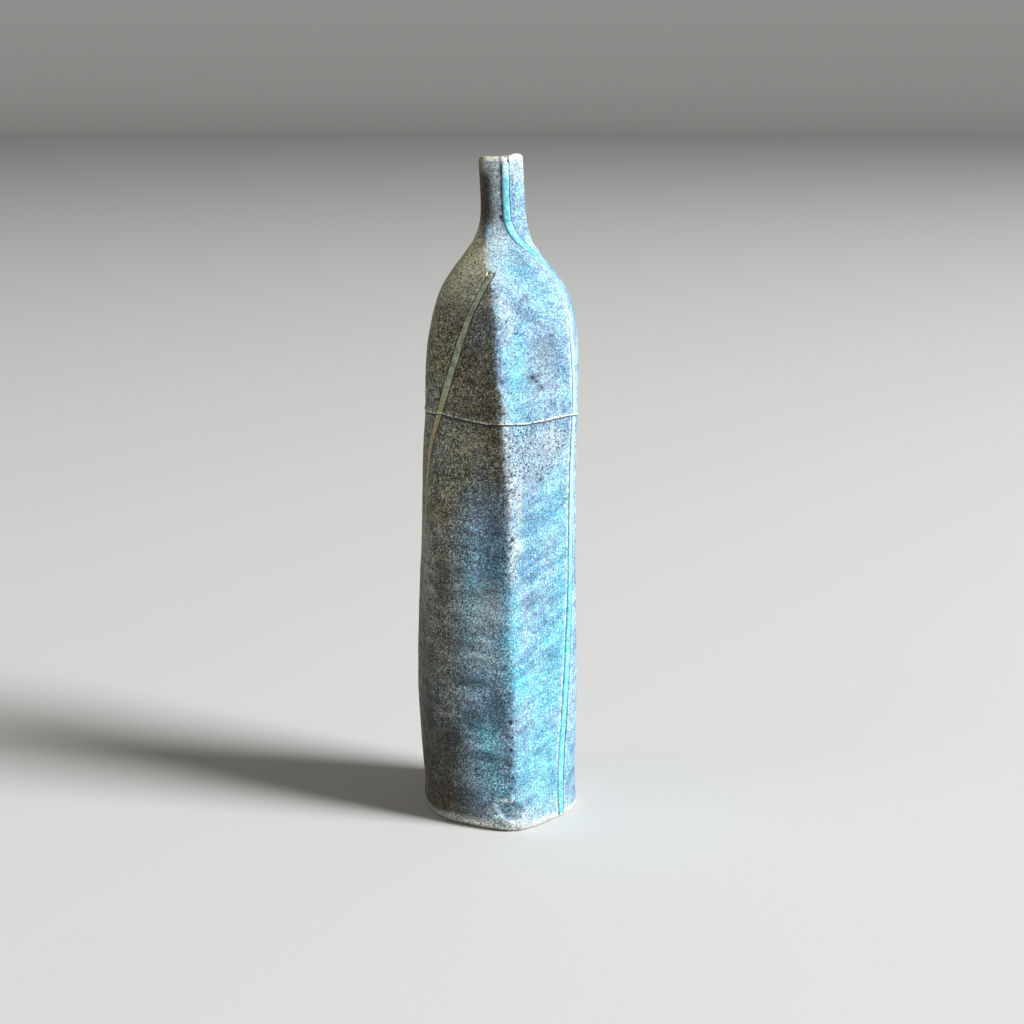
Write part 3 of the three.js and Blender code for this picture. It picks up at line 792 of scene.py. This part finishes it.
def profile_shares(low, high, spacing, close_rows):
    """Shares of the way up a wall, evenly spaced along its profile, with closer rows at its lower edge."""
    z = np.linspace(low + close_rows[-1], high, 2000)
    run = np.concatenate([[0], np.cumsum(np.hypot(np.diff(z), np.diff(half_width(z))))])
    even = np.interp(np.arange(spacing, run[-1], spacing), run, z)
    rows = np.concatenate([low + np.asarray(close_rows), even, [high]])
    return (rows - low) / (high - low)


# ---- walls

ROW_SPACING = 0.6
UPPER_ROW_SPACING = 0.45
FOOT_ROWS = [0.0, 0.2, 0.5, 0.9, 1.4, 2.0, 2.6]
LIP_ROWS = [0.0, 0.12, 0.28, 0.45, 0.65, 0.9, 1.2, 1.6, 2.0]
SHARP_ANGLE = 48
LIP_PROUD = 0.42
LIP_THICK = 0.6
HAIRLINE = 0.08
WAIST_TEAR = 0.36
RIM_NOTCH_AZIMUTH = 15
RIM_NOTCH_SPREAD = 7
RIM_NOTCH_DEPTH = 0.5


def waist_edge(azimuth):
    """The waist joint with the little unevenness of a torn and smoothed edge."""
    return waist_seam(azimuth) + WAIST_TEAR * rough_noise(circle(azimuth, 30), 5.0, 51, 4)


def rim_edge(azimuth):
    """The mouth: uneven, with a small notch beside the strip."""
    uneven = 0.14 * (rough_noise(circle(azimuth, 8), 4.0, 52, 3) - 0.7)
    notch = RIM_NOTCH_DEPTH * bell(signed_angle(azimuth - RIM_NOTCH_AZIMUTH), RIM_NOTCH_SPREAD)
    return rim_height(azimuth) + uneven - notch - SKIN_INSET


def glazed_skin(columns, shares, low, high, extra):
    """A wall's outside face and its colour zones. extra is a rule for more height, in millimetres."""
    z, azimuth = settle(columns, shares, low, high)
    angle = signed_angle(azimuth - arris_azimuth(z))
    points = outside_point(z, azimuth)
    groove = columns.groove_depth(z)
    craters = crater_depth(z, angle)
    height = (skin_height(points, z, angle) - craters) * falling(groove, 0.0, 0.3) - groove
    height = height + extra(points, z, azimuth, angle)
    skin = points + outside_normal(z, azimuth) * height[..., None]
    return skin, colour_zones(points, z, angle, craters, groove)


def finish_wall(name, columns, skin, hidden, zones):
    """Joins a skin and its hidden rows into one closed wall. The hidden rows are bare clay."""
    hidden_rows = np.zeros((hidden.shape[0], columns.total))
    full = {key: np.concatenate([values, hidden_rows]) for key, values in zones.items()}
    full["bare"] = np.concatenate([np.zeros(skin.shape[:2]), hidden_rows + 1])
    rings = np.concatenate([skin, hidden])
    faces = ring_faces(rings.shape[0], columns.total, True)
    add_piece(name + "_skin", rings, faces, name, "body_glaze", full)


def make_lower_wall():
    columns = Columns([DIAGONAL_STRIP, SEAM_STRIP], [150, 122])
    ledge = raised(waist_edge, -CLEARANCE)
    top = raised(waist_seam, WAIST_LAP)
    tongue = WAIST_SKIRT + CLEARANCE

    def foot_and_seal(points, z, azimuth, angle):
        below = np.clip(FOOT_ROUND - z, 0, FOOT_ROUND)
        rounding = FOOT_ROUND - np.sqrt(FOOT_ROUND**2 - below**2)
        foot = rounding * (0.8 + 0.2 * noise(points, 7.0, 41))
        rough = 1 + 0.35 * rough_noise(points, 2.4, 42, 2)
        seal = seal_distance(z, angle)
        pressed = SEAL_DEPTH * falling(seal, 0.6, 1.0) * rough
        eased = 0.4 * smoothstep(z, ledge(azimuth) - 0.7, ledge(azimuth))
        return -foot - pressed - eased

    shares = profile_shares(0, WAIST_HEIGHT, ROW_SPACING, FOOT_ROWS)
    skin, zones = glazed_skin(columns, shares, level(0.0), ledge, foot_and_seal)
    skin[0, :, 2] = 0.0
    skin[..., 2] = np.maximum(skin[..., 2], 0.0)
    hidden = rows_at(columns, [
        (ledge, tongue, outside_point),
        (top, tongue, outside_point),
        (top, WALL, inside_point),
        *[(z, WALL, inside_point) for z in np.linspace(140, 12, 17)],
        (5.0, WALL, inside_point),
        (0.0, WALL, inside_point),
    ])
    finish_wall("lower_wall", columns, skin, hidden, zones)


def shoulder_inside(z, azimuth, depth):
    """Inside face of the upper half: depth is the wall's thickness, measured square to the face."""
    slope = half_width(z + 0.5) - half_width(z - 0.5)
    run = np.hypot(1, slope)
    z_inside = z + depth * slope / run
    return inside_point(z_inside, azimuth, half_width(z_inside) - half_width(z) + depth / run)


def make_upper_wall():
    columns = Columns([DIAGONAL_STRIP, SEAM_STRIP], [140, 150])
    ledge = raised(neck_seam, -HAIRLINE)
    top = raised(neck_seam, NECK_LAP)
    ceiling = raised(waist_seam, WAIST_LAP + CLEARANCE)
    tongue = NECK_SKIRT + CLEARANCE

    def lip(points, z, azimuth, angle):
        rise = z - waist_edge(azimuth)
        bead = LIP_PROUD * bell(rise, LIP_THICK) * (0.8 + 0.8 * rough_noise(points, 3.4, 53, 2))
        edge = 0.35 - np.sqrt(np.clip(0.35**2 - np.clip(0.35 - rise, 0, 0.35) ** 2, 0, None))
        eased = 0.12 * smoothstep(z, ledge(azimuth) - 0.4, ledge(azimuth))
        return bead - edge - eased

    shares = profile_shares(WAIST_HEIGHT, NECK_JOINT_HEIGHT, UPPER_ROW_SPACING, LIP_ROWS)
    skin, zones = glazed_skin(columns, shares, waist_edge, ledge, lip)
    wall_at = smooth_curve([(200, WALL), (222, NECK_WALL)])
    hidden = rows_at(columns, [
        (ledge, tongue, outside_point),
        (top, tongue, outside_point),
        (top, NECK_WALL, inside_point),
        *[(z, wall_at(z), shoulder_inside) for z in np.linspace(225, 166, 20)],
        (ceiling, WALL, inside_point),
        (ceiling, WAIST_SKIRT, outside_point),
        (waist_edge, WAIST_SKIRT, outside_point),
    ])
    finish_wall("upper_wall", columns, skin, hidden, zones)


def make_neck_wall():
    columns = Columns([SEAM_STRIP], [150])
    ceiling = raised(neck_seam, NECK_LAP + CLEARANCE)
    middle = NECK_WALL / 2
    shoulder = raised(rim_edge, -middle)

    def eased(points, z, azimuth, angle):
        rise = z - neck_seam(azimuth)
        return -0.12 * falling(rise, 0.0, 0.4)

    shares = profile_shares(NECK_JOINT_HEIGHT, RIM_LOW - middle, 0.35, [0.0, 0.12, 0.3, 0.55])
    skin, zones = glazed_skin(columns, shares, neck_seam, shoulder, eased)
    outer_offset = skin[-1:] - outside_point(*settle(columns, np.ones(1), neck_seam, shoulder))
    mouth = []
    for turn in np.linspace(15, 165, 11):
        edge = raised(rim_edge, -middle * (1 - sine(turn)))
        z, azimuth = settle(columns, np.zeros(1), edge, level(HEIGHT))
        depth = middle * (1 - cosine(turn))
        share = turn / 180
        ring = outside_point(z, azimuth, depth) * (1 - share) + inside_point(z, azimuth, depth) * share
        mouth.append(ring + outer_offset * (1 - share))
    mouth = np.concatenate(mouth)
    zones = {key: np.concatenate([v, np.repeat(v[-1:], len(mouth), 0)]) for key, v in zones.items()}
    zones["pale"][-len(mouth):] = 1
    hidden = rows_at(columns, [
        *[(z, NECK_WALL, inside_point) for z in np.linspace(RIM_LOW - 3, 232, 10)],
        (ceiling, NECK_WALL, inside_point),
        (ceiling, NECK_SKIRT, outside_point),
        (neck_seam, NECK_SKIRT, outside_point),
    ])
    finish_wall("neck_wall", columns, np.concatenate([skin, mouth]), hidden, zones)


# ---- strips

STRIP_STEP = 0.4
STRIP_TOP_POINTS = 15
STRIP_FILL = 0.06
JOINT_GAP = 0.05


def make_strip(node, strip, slot, low, high, seed):
    """A strip of clay in its groove: pillowed top, wavering edges and a rounded end where it is free.

    Each end is the rule of the joint that it stops at, or a plain height where it is free.
    """
    free_low, free_high = not callable(low), not callable(high)
    low, high = as_edge(low), as_edge(high)
    start, end = (float(edge(strip.azimuth_at(edge(0.0)))) for edge in (low, high))
    share = np.linspace(0, 1, int((end - start) / STRIP_STEP))
    z = start + share * (end - start)
    half = strip.width_at(z) / 2 + STRIP_FILL + 0.09 * rough_noise(upright(z), 4.0, seed, 3)
    from_low, from_high = z - start, end - z
    nearest = np.minimum(np.where(free_low, from_low, 9.0), np.where(free_high, from_high, 9.0))
    rounding = np.sqrt(np.clip(1 - np.clip(1 - nearest / 0.9, 0, 1) ** 2, 0.12, 1))
    across = np.linspace(-1, 1, STRIP_TOP_POINTS)
    grid_z = np.repeat(z[:, None], STRIP_TOP_POINTS, 1)
    for _ in range(4):
        azimuth = strip.azimuth_beside(grid_z, across * (half * rounding)[:, None])
        grid_z = low(azimuth) + share[:, None] * (high(azimuth) - low(azimuth))
    points = outside_point(grid_z, azimuth)
    normal = outside_normal(grid_z, azimuth)
    crown = 1 - np.abs(across) ** 4
    grain = 0.05 * rough_noise(points, 2.2, seed + 3, 3) + 0.03 * noise(points, 0.9, seed + 4)
    sway = 0.08 * noise(points, 14.0, seed + 5)
    lift = 0.22 * crown * rounding[:, None] - 0.12 - SKIN_INSET + (grain + sway) * crown
    lift = np.minimum(lift, STRIP_PROUD - SKIN_INSET)
    top = points + normal * lift[..., None]
    floor = points - normal * STRIP_SUNK
    rings = np.concatenate([top, floor[:, -1:], floor[:, :1]], 1)
    rings[..., 2] = np.maximum(rings[..., 2], 0.1)
    flat = np.zeros(rings.shape[:2])
    over_lip = abs(start - WAIST_HEIGHT) < 2 and not free_low
    zones = {
        "edge": flat + 1,
        "height": flat + z[:, None] / HEIGHT,
        "lip": flat + bell(from_low, 0.5)[:, None] * over_lip,
    }
    zones["edge"][:, :STRIP_TOP_POINTS] = np.abs(across) ** 6
    points, faces = capped(rings)
    zones = {key: np.concatenate([v.ravel(), [v[0, 0], v[-1, 0]]]) for key, v in zones.items()}
    add_piece(node + "_clay", points, faces, node, slot, zones)


def make_strips():
    under_waist = raised(waist_edge, -CLEARANCE - JOINT_GAP)
    over_waist = raised(waist_edge, JOINT_GAP)
    under_neck = raised(neck_seam, -HAIRLINE - JOINT_GAP)
    over_neck = raised(neck_seam, JOINT_GAP)
    for node, strip, low, high in [
        ("seam_strip_lower", SEAM_STRIP, SEAM_STRIP.ends[0], under_waist),
        ("seam_strip_upper", SEAM_STRIP, over_waist, under_neck),
        ("seam_strip_neck", SEAM_STRIP, over_neck, SEAM_STRIP.ends[1]),
        ("diagonal_strip_lower", DIAGONAL_STRIP, DIAGONAL_STRIP.ends[0], under_waist),
        ("diagonal_strip_upper", DIAGONAL_STRIP, over_waist, DIAGONAL_STRIP.ends[1]),
    ]:
        slot = "seam_strip_glaze" if strip is SEAM_STRIP else "diagonal_strip_glaze"
        make_strip(node, strip, slot, low, high, len(node))


# ---- floor and coils

COIL_COLUMNS = 200
# A coil's finger marks: least share of its size, marks round it, and how far and how often they sway.
FLOOR_COIL = (0.86, 17, 40, 3)
WAIST_COIL = (0.84, 13, 50, 4)
FINGER_DEPTH = 0.12


def clay_rings(section, seed):
    """Rings of clay inside the wall, from a section of pairs of rules for height and depth."""
    azimuth = np.linspace(0, 360, COIL_COLUMNS, endpoint=False)
    rings = np.stack([inside_point(edge(azimuth), azimuth, depth(azimuth)) for edge, depth in section])
    grain = 0.07 * rough_noise(rings, 3.0, seed, 3)
    centre = rings.mean(axis=(0, 1), keepdims=True)
    inward = (centre - rings) * [1, 1, 0]
    inward = inward / np.linalg.norm(inward, axis=-1, keepdims=True)
    return rings + inward * (grain + 0.08)[..., None]


def make_floor_slab():
    """The floor: pressed unevenly on top and a little underneath, and flat at its rim."""
    azimuth = np.linspace(0, 360, COIL_COLUMNS, endpoint=False)
    side = WALL + CLEARANCE
    middle = half_width(0.0)
    shares = [1, 0.97, 0.9, 0.8, 0.68, 0.55, 0.4, 0.25, 0.1]
    depths = [middle - (middle - side - 0.5) * share for share in shares]
    rings = [inside_point(0 * azimuth, azimuth, depth) for depth in reversed(depths)]
    for z in np.linspace(0.4, FLOOR_TOP - 0.5, 6):
        rings.append(inside_point(z + 0 * azimuth, azimuth, side + 0.1))
    rings += [inside_point(FLOOR_TOP - 0.1 + 0 * azimuth, azimuth, depth) for depth in depths]
    rings = np.stack(rings)
    pressed = 0.12 * (rough_noise(rings, 5.0, 61, 3) - 1)
    rings[-len(depths):, :, 2] += pressed[-len(depths):]
    rings[:len(depths) - 2, :, 2] += np.clip(-pressed[:len(depths) - 2], 0, 0.3)
    points, faces = capped(rings)
    add_piece("floor_slab_clay", points, faces, "floor_slab", "bare_clay")


def finger_marks(base, size, least, marks, sway, turns):
    """The rule for a coil's face, at size from its base, thinner and thicker by turns."""
    def face(azimuth):
        swell = sine(azimuth * marks + sway * sine(azimuth * turns))
        return base + size * (least + FINGER_DEPTH * swell)

    return face


def make_coil(node, section, seed):
    rings = clay_rings(section, seed)
    faces = ring_faces(len(rings), COIL_COLUMNS, True)
    add_piece(node + "_clay", rings, faces, node, "bare_clay")


def make_floor_coil():
    """A quarter-round coil in the corner between the floor and the wall."""
    size = FLOOR_COIL_TOP - FLOOR_TOP - CLEARANCE
    bottom = FLOOR_TOP + CLEARANCE
    depth = WALL + CLEARANCE
    section = [(level(bottom), level(depth))]
    for turn in np.linspace(90, 0, 9):
        up, out = ((size - 0.2) * share**1.1 for share in (sine(turn), cosine(turn)))
        section.append((finger_marks(bottom, up, *FLOOR_COIL), finger_marks(depth, out, *FLOOR_COIL)))
    make_coil("floor_coil", section, 63)


def make_waist_coil():
    """A half-round coil behind the waist joint."""
    depth = WALL + CLEARANCE
    section = [(waist_seam, level(depth))]
    for turn in np.linspace(90, -90, 13):
        rise = sine(turn) * WAIST_COIL_HEIGHT / 2 * 0.97
        out = max(cosine(turn), 0) * WAIST_COIL_DEPTH
        section.append((raised(waist_seam, rise), finger_marks(depth, out, *WAIST_COIL)))
    make_coil("waist_coil", section, 65)


# ---- materials

def tone(red, green, blue):
    """A colour given as the eye reads it, 0 to 255, in the linear light that the shader uses."""
    def linear(value):
        value = value / 255
        return value / 12.92 if value <= 0.04045 else ((value + 0.055) / 1.055) ** 2.4

    return (linear(red), linear(green), linear(blue), 1.0)


class Finish:
    """A procedural material under construction. Sizes are in millimetres on the object."""

    def __init__(self, name):
        self.material = bpy.data.materials.new(name)
        self.material.use_nodes = True
        self.tree = self.material.node_tree
        self.tree.nodes.clear()
        output = self.tree.nodes.new("ShaderNodeOutputMaterial")
        self.shader = self.node("BsdfPrincipled")
        self.tree.links.new(self.shader.outputs["BSDF"], output.inputs["Surface"])
        self.place = self.node("TexCoord").outputs["Object"]

    def feed(self, socket, value):
        if isinstance(value, bpy.types.NodeSocket):
            self.tree.links.new(value, socket)
        else:
            socket.default_value = value

    def node(self, kind, *values, **named):
        """A new node, with values fed to its first sockets in order and to the sockets named."""
        node = self.tree.nodes.new("ShaderNode" + kind)
        for socket, value in zip(node.inputs, values):
            self.feed(socket, value)
        for name, value in named.items():
            self.feed(node.inputs[name], value)
        return node

    def attribute(self, name):
        node = self.node("Attribute")
        node.attribute_name = name
        return node.outputs["Fac"]

    def noise(self, size, detail=2.0, roughness=0.5, distortion=0.0):
        node = self.node("TexNoise", Vector=self.place, Scale=1 / (size * MM), Detail=detail)
        node.inputs["Roughness"].default_value = roughness
        node.inputs["Distortion"].default_value = distortion
        return node.outputs["Fac"]

    def cells(self, size):
        node = self.node("TexVoronoi", Vector=self.place, Scale=1 / (size * MM))
        return node.outputs["Distance"], node.outputs["Color"]

    def fit(self, value, low, high, start=0.0, end=1.0):
        """Maps a value from low..high to start..end, smoothly and within those."""
        node = self.node("MapRange", value, low, high, start, end)
        node.interpolation_type = "SMOOTHSTEP"
        return node.outputs["Result"]

    def sum(self, kind, first, second):
        node = self.node("Math", first, second)
        node.operation = kind
        node.use_clamp = kind == "ADD"
        return node.outputs["Value"]

    def times(self, first, second):
        return self.sum("MULTIPLY", first, second)

    def mix(self, share, first, second, kind="MIX"):
        node = self.node("Mix")
        node.data_type = "RGBA"
        node.blend_type = kind
        for number, value in ((0, share), (6, first), (7, second)):
            self.feed(node.inputs[number], value)
        return node.outputs[2]

    def lay(self, share, colour, kind="MIX"):
        """Lays a share of a colour over the colour so far."""
        self.colour = self.mix(share, self.colour, colour, kind)

    def done(self, roughness, bump, depth):
        """Connects the colour, the roughness and a height map whose full swing is depth millimetres."""
        node = self.node("Bump", Strength=1.0, Distance=depth * MM, Height=bump)
        self.feed(self.shader.inputs["Normal"], node.outputs["Normal"])
        self.feed(self.shader.inputs["Base Color"], self.colour)
        self.feed(self.shader.inputs["Roughness"], roughness)
        return self.material


ICE_BLUE = tone(134, 180, 204)
LILAC_GREY = tone(118, 136, 168)
DEEP_BLUE = tone(72, 116, 146)
FROST = tone(200, 216, 220)
OLIVE_GREY = tone(128, 116, 82)
CHARCOAL = tone(82, 74, 56)
SAGE = tone(174, 173, 144)
SLATE = tone(48, 74, 92)
TURQUOISE = tone(78, 180, 206)
CHALK = tone(214, 214, 206)
IRON = tone(46, 38, 32)
SOOT = tone(30, 26, 23)
UMBER = tone(44, 36, 30)
INK = tone(34, 58, 70)
BUFF = tone(176, 156, 132)
BUFF_DARK = tone(128, 106, 84)


def glaze_finish():
    """Dry matt stoneware glaze: granular blue and grey, warmer and darker on one side, partly its own
    colour and partly painted shade, with painted highlights and iron freckles.
    """
    f = Finish("body_glaze")
    f.shader.inputs["Specular IOR Level"].default_value = 0.3
    grain = f.noise(0.72, 2.0, 0.7)
    meal = f.noise(0.5, 1.0, 0.6)
    mottle = f.noise(3.0, 4.0, 0.6, 0.4)
    cloud = f.noise(15.0, 4.0, 0.55, 0.6)
    sand = f.noise(0.4, 2.0, 0.6)
    warmth = f.attribute("warm")

    f.colour = f.mix(f.fit(mottle, 0.38, 0.62), ICE_BLUE, LILAC_GREY)
    f.lay(f.fit(cloud, 0.42, 0.64, 0.0, 0.8), DEEP_BLUE)
    f.lay(f.times(f.attribute("teal"), f.fit(mottle, 0.25, 0.6, 1.0, 0.6)), TURQUOISE)
    # Olive and charcoal over the warm zone: partly the glaze's own colour, partly painted warm shade on the
    # left.
    warm = f.mix(f.fit(mottle, 0.40, 0.62), OLIVE_GREY, CHARCOAL)
    f.lay(f.times(warmth, 0.9), warm)
    # Dark blue-grey and umber over the dark zone: real smudges and the scored line, and painted shade on
    # the left and on the neck's left.
    shade = f.times(f.attribute("dark"), f.fit(grain, 0.3, 0.62, 0.95, 0.65))
    f.lay(shade, f.mix(warmth, SLATE, UMBER))
    # Chalk over the pale zone: the bare foot and mouth, wear, and painted highlights on the arris's crest,
    # beside the strip and on the left shoulder.
    chalk = f.mix(warmth, CHALK, SAGE)
    f.lay(f.times(f.attribute("pale"), f.fit(grain, 0.3, 0.6, 0.6, 1.0)), chalk)
    salt = f.attribute("salt")
    lit = f.times(f.fit(grain, 0.51, 0.66), f.fit(f.attribute("dark"), 0.0, 1.0, 1.0, 0.7))
    f.lay(f.times(lit, salt), f.mix(warmth, FROST, SAGE))
    f.lay(f.times(f.fit(grain, 0.50, 0.36), salt), f.mix(warmth, SLATE, SOOT))
    f.lay(1.0, f.fit(meal, 0.34, 0.66, 0.62, 1.45), "MULTIPLY")
    # This zone carries brushed strokes, painted shade low on the far left and on the neck's left, and
    # painted light on the left shoulder.
    f.lay(1.0, f.fit(f.attribute("brush"), 0.0, 1.0, 0.68, 1.35), "MULTIPLY")
    f.lay(f.fit(sand, 0.60, 0.72, 0.0, 0.6), SOOT)

    distance, random = f.cells(1.3)
    picked = f.fit(f.sum("SUBTRACT", f.attribute("freckle"), random), 0.0, 0.12)
    spot = f.fit(f.sum("ADD", distance, f.times(grain, 0.35)), 0.60, 0.38)
    f.lay(f.times(f.times(picked, spot), 0.85), IRON)

    # Darker in craters and grooves, with painted shade in the seal and painted shadow under the lip and
    # beside the neck strip.
    f.lay(f.times(f.attribute("hollows_and_shade"), 0.88), f.mix(warmth, INK, UMBER))
    clay = f.mix(f.fit(mottle, 0.35, 0.65), BUFF, BUFF_DARK)
    f.lay(f.attribute("bare"), clay)

    bump = f.sum("ADD", f.times(grain, 0.6), f.times(sand, 0.3))
    return f.done(f.fit(mottle, 0.3, 0.7, 0.62, 0.8), bump, 0.30)


def finish_strip(f, grain, mottle, roughness):
    """Whitens a strip's end at the lip and gives the strip its grain."""
    f.lay(f.attribute("lip"), CHALK)
    bump = f.sum("ADD", f.times(grain, 0.5), f.times(mottle, 0.4))
    return f.done(f.fit(mottle, 0.3, 0.7, *roughness), bump, 0.22)


def seam_strip_finish():
    """Turquoise glaze that pools between the grooves, paler near the mouth and waist, with dark pits."""
    f = Finish("seam_strip_glaze")
    grain = f.noise(0.9, 2.5, 0.7)
    mottle = f.noise(4.0, 3.0, 0.6)
    height = f.attribute("height")
    streak = f.noise(1.6, 2.0, 0.6)
    f.colour = f.mix(f.fit(mottle, 0.35, 0.65), tone(104, 196, 214), tone(72, 166, 192))
    f.lay(f.fit(streak, 0.46, 0.66, 0.0, 0.5), tone(166, 220, 230))
    waist = f.times(f.fit(height, 0.30, 0.56), f.fit(height, 0.84, 0.74))
    f.lay(f.times(waist, 0.7), tone(186, 216, 222))
    f.lay(f.fit(height, 0.955, 0.985, 0.0, 0.8), tone(206, 226, 226))
    f.lay(f.fit(grain, 0.52, 0.70, 0.0, 0.55), tone(196, 230, 232))
    f.lay(f.fit(grain, 0.48, 0.32, 0.0, 0.55), tone(44, 96, 112))
    f.lay(f.times(f.attribute("edge"), 0.5), tone(60, 88, 94))
    return finish_strip(f, grain, mottle, (0.45, 0.62))


def diagonal_strip_finish():
    """Grey-green glaze on the slanting strip, browner below the waist."""
    f = Finish("diagonal_strip_glaze")
    grain = f.noise(0.9, 2.5, 0.7)
    mottle = f.noise(3.2, 3.0, 0.65)
    f.colour = f.mix(f.fit(mottle, 0.35, 0.65), tone(174, 184, 160), tone(116, 126, 102))
    below = f.fit(f.attribute("height"), 0.70, 0.60)
    tan = f.mix(grain, tone(132, 116, 82), tone(176, 164, 122))
    f.lay(f.times(below, 0.85), tan)
    f.lay(f.fit(grain, 0.52, 0.70, 0.0, 0.5), tone(184, 190, 168))
    f.lay(f.fit(grain, 0.48, 0.32, 0.0, 0.55), tone(70, 66, 50))
    f.lay(f.times(f.attribute("edge"), 0.6), tone(56, 50, 38))
    return finish_strip(f, grain, mottle, (0.6, 0.76))


def clay_finish():
    """Fired stoneware clay with no glaze: pale buff, sandy, with iron specks."""
    f = Finish("bare_clay")
    grain = f.noise(0.9, 3.0, 0.65)
    mottle = f.noise(6.0, 4.0, 0.6)
    f.colour = f.mix(f.fit(mottle, 0.35, 0.65), BUFF, BUFF_DARK)
    f.lay(f.fit(grain, 0.52, 0.7, 0.0, 0.5), tone(206, 192, 172))
    distance, random = f.cells(2.2)
    picked = f.fit(f.sum("SUBTRACT", 0.3, random), 0.0, 0.1)
    f.lay(f.times(picked, f.fit(distance, 0.34, 0.22, 0.0, 0.9)), IRON)
    return f.done(f.fit(mottle, 0.3, 0.7, 0.82, 0.94), grain, 0.28)


# ---- camera and stage

CAMERA_AT = Vector((4.4, -760.4, 281.0)) * MM
CAMERA_PITCH = 12.26
CAMERA_LENS = 72.2
SENSOR = 36.0
STAGE_FLAT = 8.0
STAGE_SWEEP = 1.6
STAGE_SIDES = 160
# Each lamp: azimuth and elevation in degrees, distance and size in metres, power and colour.
KEY_LAMP = (68, 34, 6.0, 2.2, 850, (0.90, 0.93, 0.95))
FILL_LAMP = (-60, 25, 6.0, 4.0, 56, (1.0, 0.90, 0.78))
ROOM_COLOUR = (0.84, 0.83, 0.81, 1)
ROOM_STRENGTH = 0.22


def make_camera():
    data = bpy.data.cameras.new("camera")
    data.lens = CAMERA_LENS
    data.sensor_width = SENSOR
    data.clip_start = 0.01
    camera = add_object("camera", data)
    camera.location = CAMERA_AT
    camera.rotation_euler = (math.radians(90 - CAMERA_PITCH), 0, 0)
    bpy.context.scene.camera = camera


def area_light(name, azimuth, elevation, distance, size, power, colour):
    """A soft lamp at an azimuth and elevation from the vase, aimed at its middle."""
    data = bpy.data.lights.new(name, "AREA")
    data.shape = "DISK"
    data.size = size
    data.energy = power
    data.color = colour
    flat = cosine(elevation)
    away = Vector((flat * sine(azimuth), -flat * cosine(azimuth), sine(elevation))) * distance
    lamp = add_object(name, data)
    lamp.location = Vector((0, 0, HEIGHT * MM * 0.5)) + away
    lamp.rotation_euler = (-away).to_track_quat("-Z", "Y").to_euler()


def make_stage():
    """A wide pale floor that sweeps up into a low backdrop far from the vase."""
    turns = np.linspace(0, 2 * math.pi, STAGE_SIDES, endpoint=False)
    around = np.stack([np.cos(turns), np.sin(turns), 0 * turns], -1)
    rings = [around * STAGE_FLAT * share for share in (0.1, 0.3, 0.6, 1.0)]
    for turn in np.radians(np.linspace(6, 84, 14)):
        ring = around * (STAGE_FLAT + STAGE_SWEEP * math.sin(turn))
        rings.append(ring + [0, 0, STAGE_SWEEP * (1 - math.cos(turn))])
    grid = np.stack(rings)
    faces = [face[::-1] for face in ring_faces(len(rings), STAGE_SIDES, False)]
    faces.append(list(range(STAGE_SIDES)))
    mesh = bpy.data.meshes.new("stage_floor")
    mesh.from_pydata(grid.reshape(-1, 3).tolist(), [], faces)
    mesh.polygons.foreach_set("use_smooth", [True] * len(mesh.polygons))
    floor = add_object("stage_floor", mesh)
    floor.location.z = cad_low.z
    f = Finish("stage_paper")
    fibre = f.noise(1.5, 3.0, 0.6)
    f.colour = f.mix(f.fit(fibre, 0.3, 0.7, 0.0, 0.35), tone(190, 189, 186), tone(184, 183, 181))
    mesh.materials.append(f.done(0.9, fibre, 0.02))


def make_light():
    world = bpy.data.worlds.new("studio")
    bpy.context.scene.world = world
    world.use_nodes = True
    background = world.node_tree.nodes["Background"]
    background.inputs["Color"].default_value = ROOM_COLOUR
    background.inputs["Strength"].default_value = ROOM_STRENGTH
    area_light("key", *KEY_LAMP)
    area_light("fill", *FILL_LAMP)
    bpy.context.scene.view_settings.view_transform = "Standard"


# ---- the scene

def dress(finishes):
    for piece in bpy.context.scene.objects:
        if piece.get("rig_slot") in finishes:
            piece.data.materials.clear()
            piece.data.materials.append(finishes[piece["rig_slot"]])


make_camera()
make_lower_wall()
make_upper_wall()
make_neck_wall()
make_strips()
make_floor_slab()
make_floor_coil()
make_waist_coil()
dress({
    "body_glaze": glaze_finish(),
    "seam_strip_glaze": seam_strip_finish(),
    "diagonal_strip_glaze": diagonal_strip_finish(),
    "bare_clay": clay_finish(),
})
make_stage()
make_light()
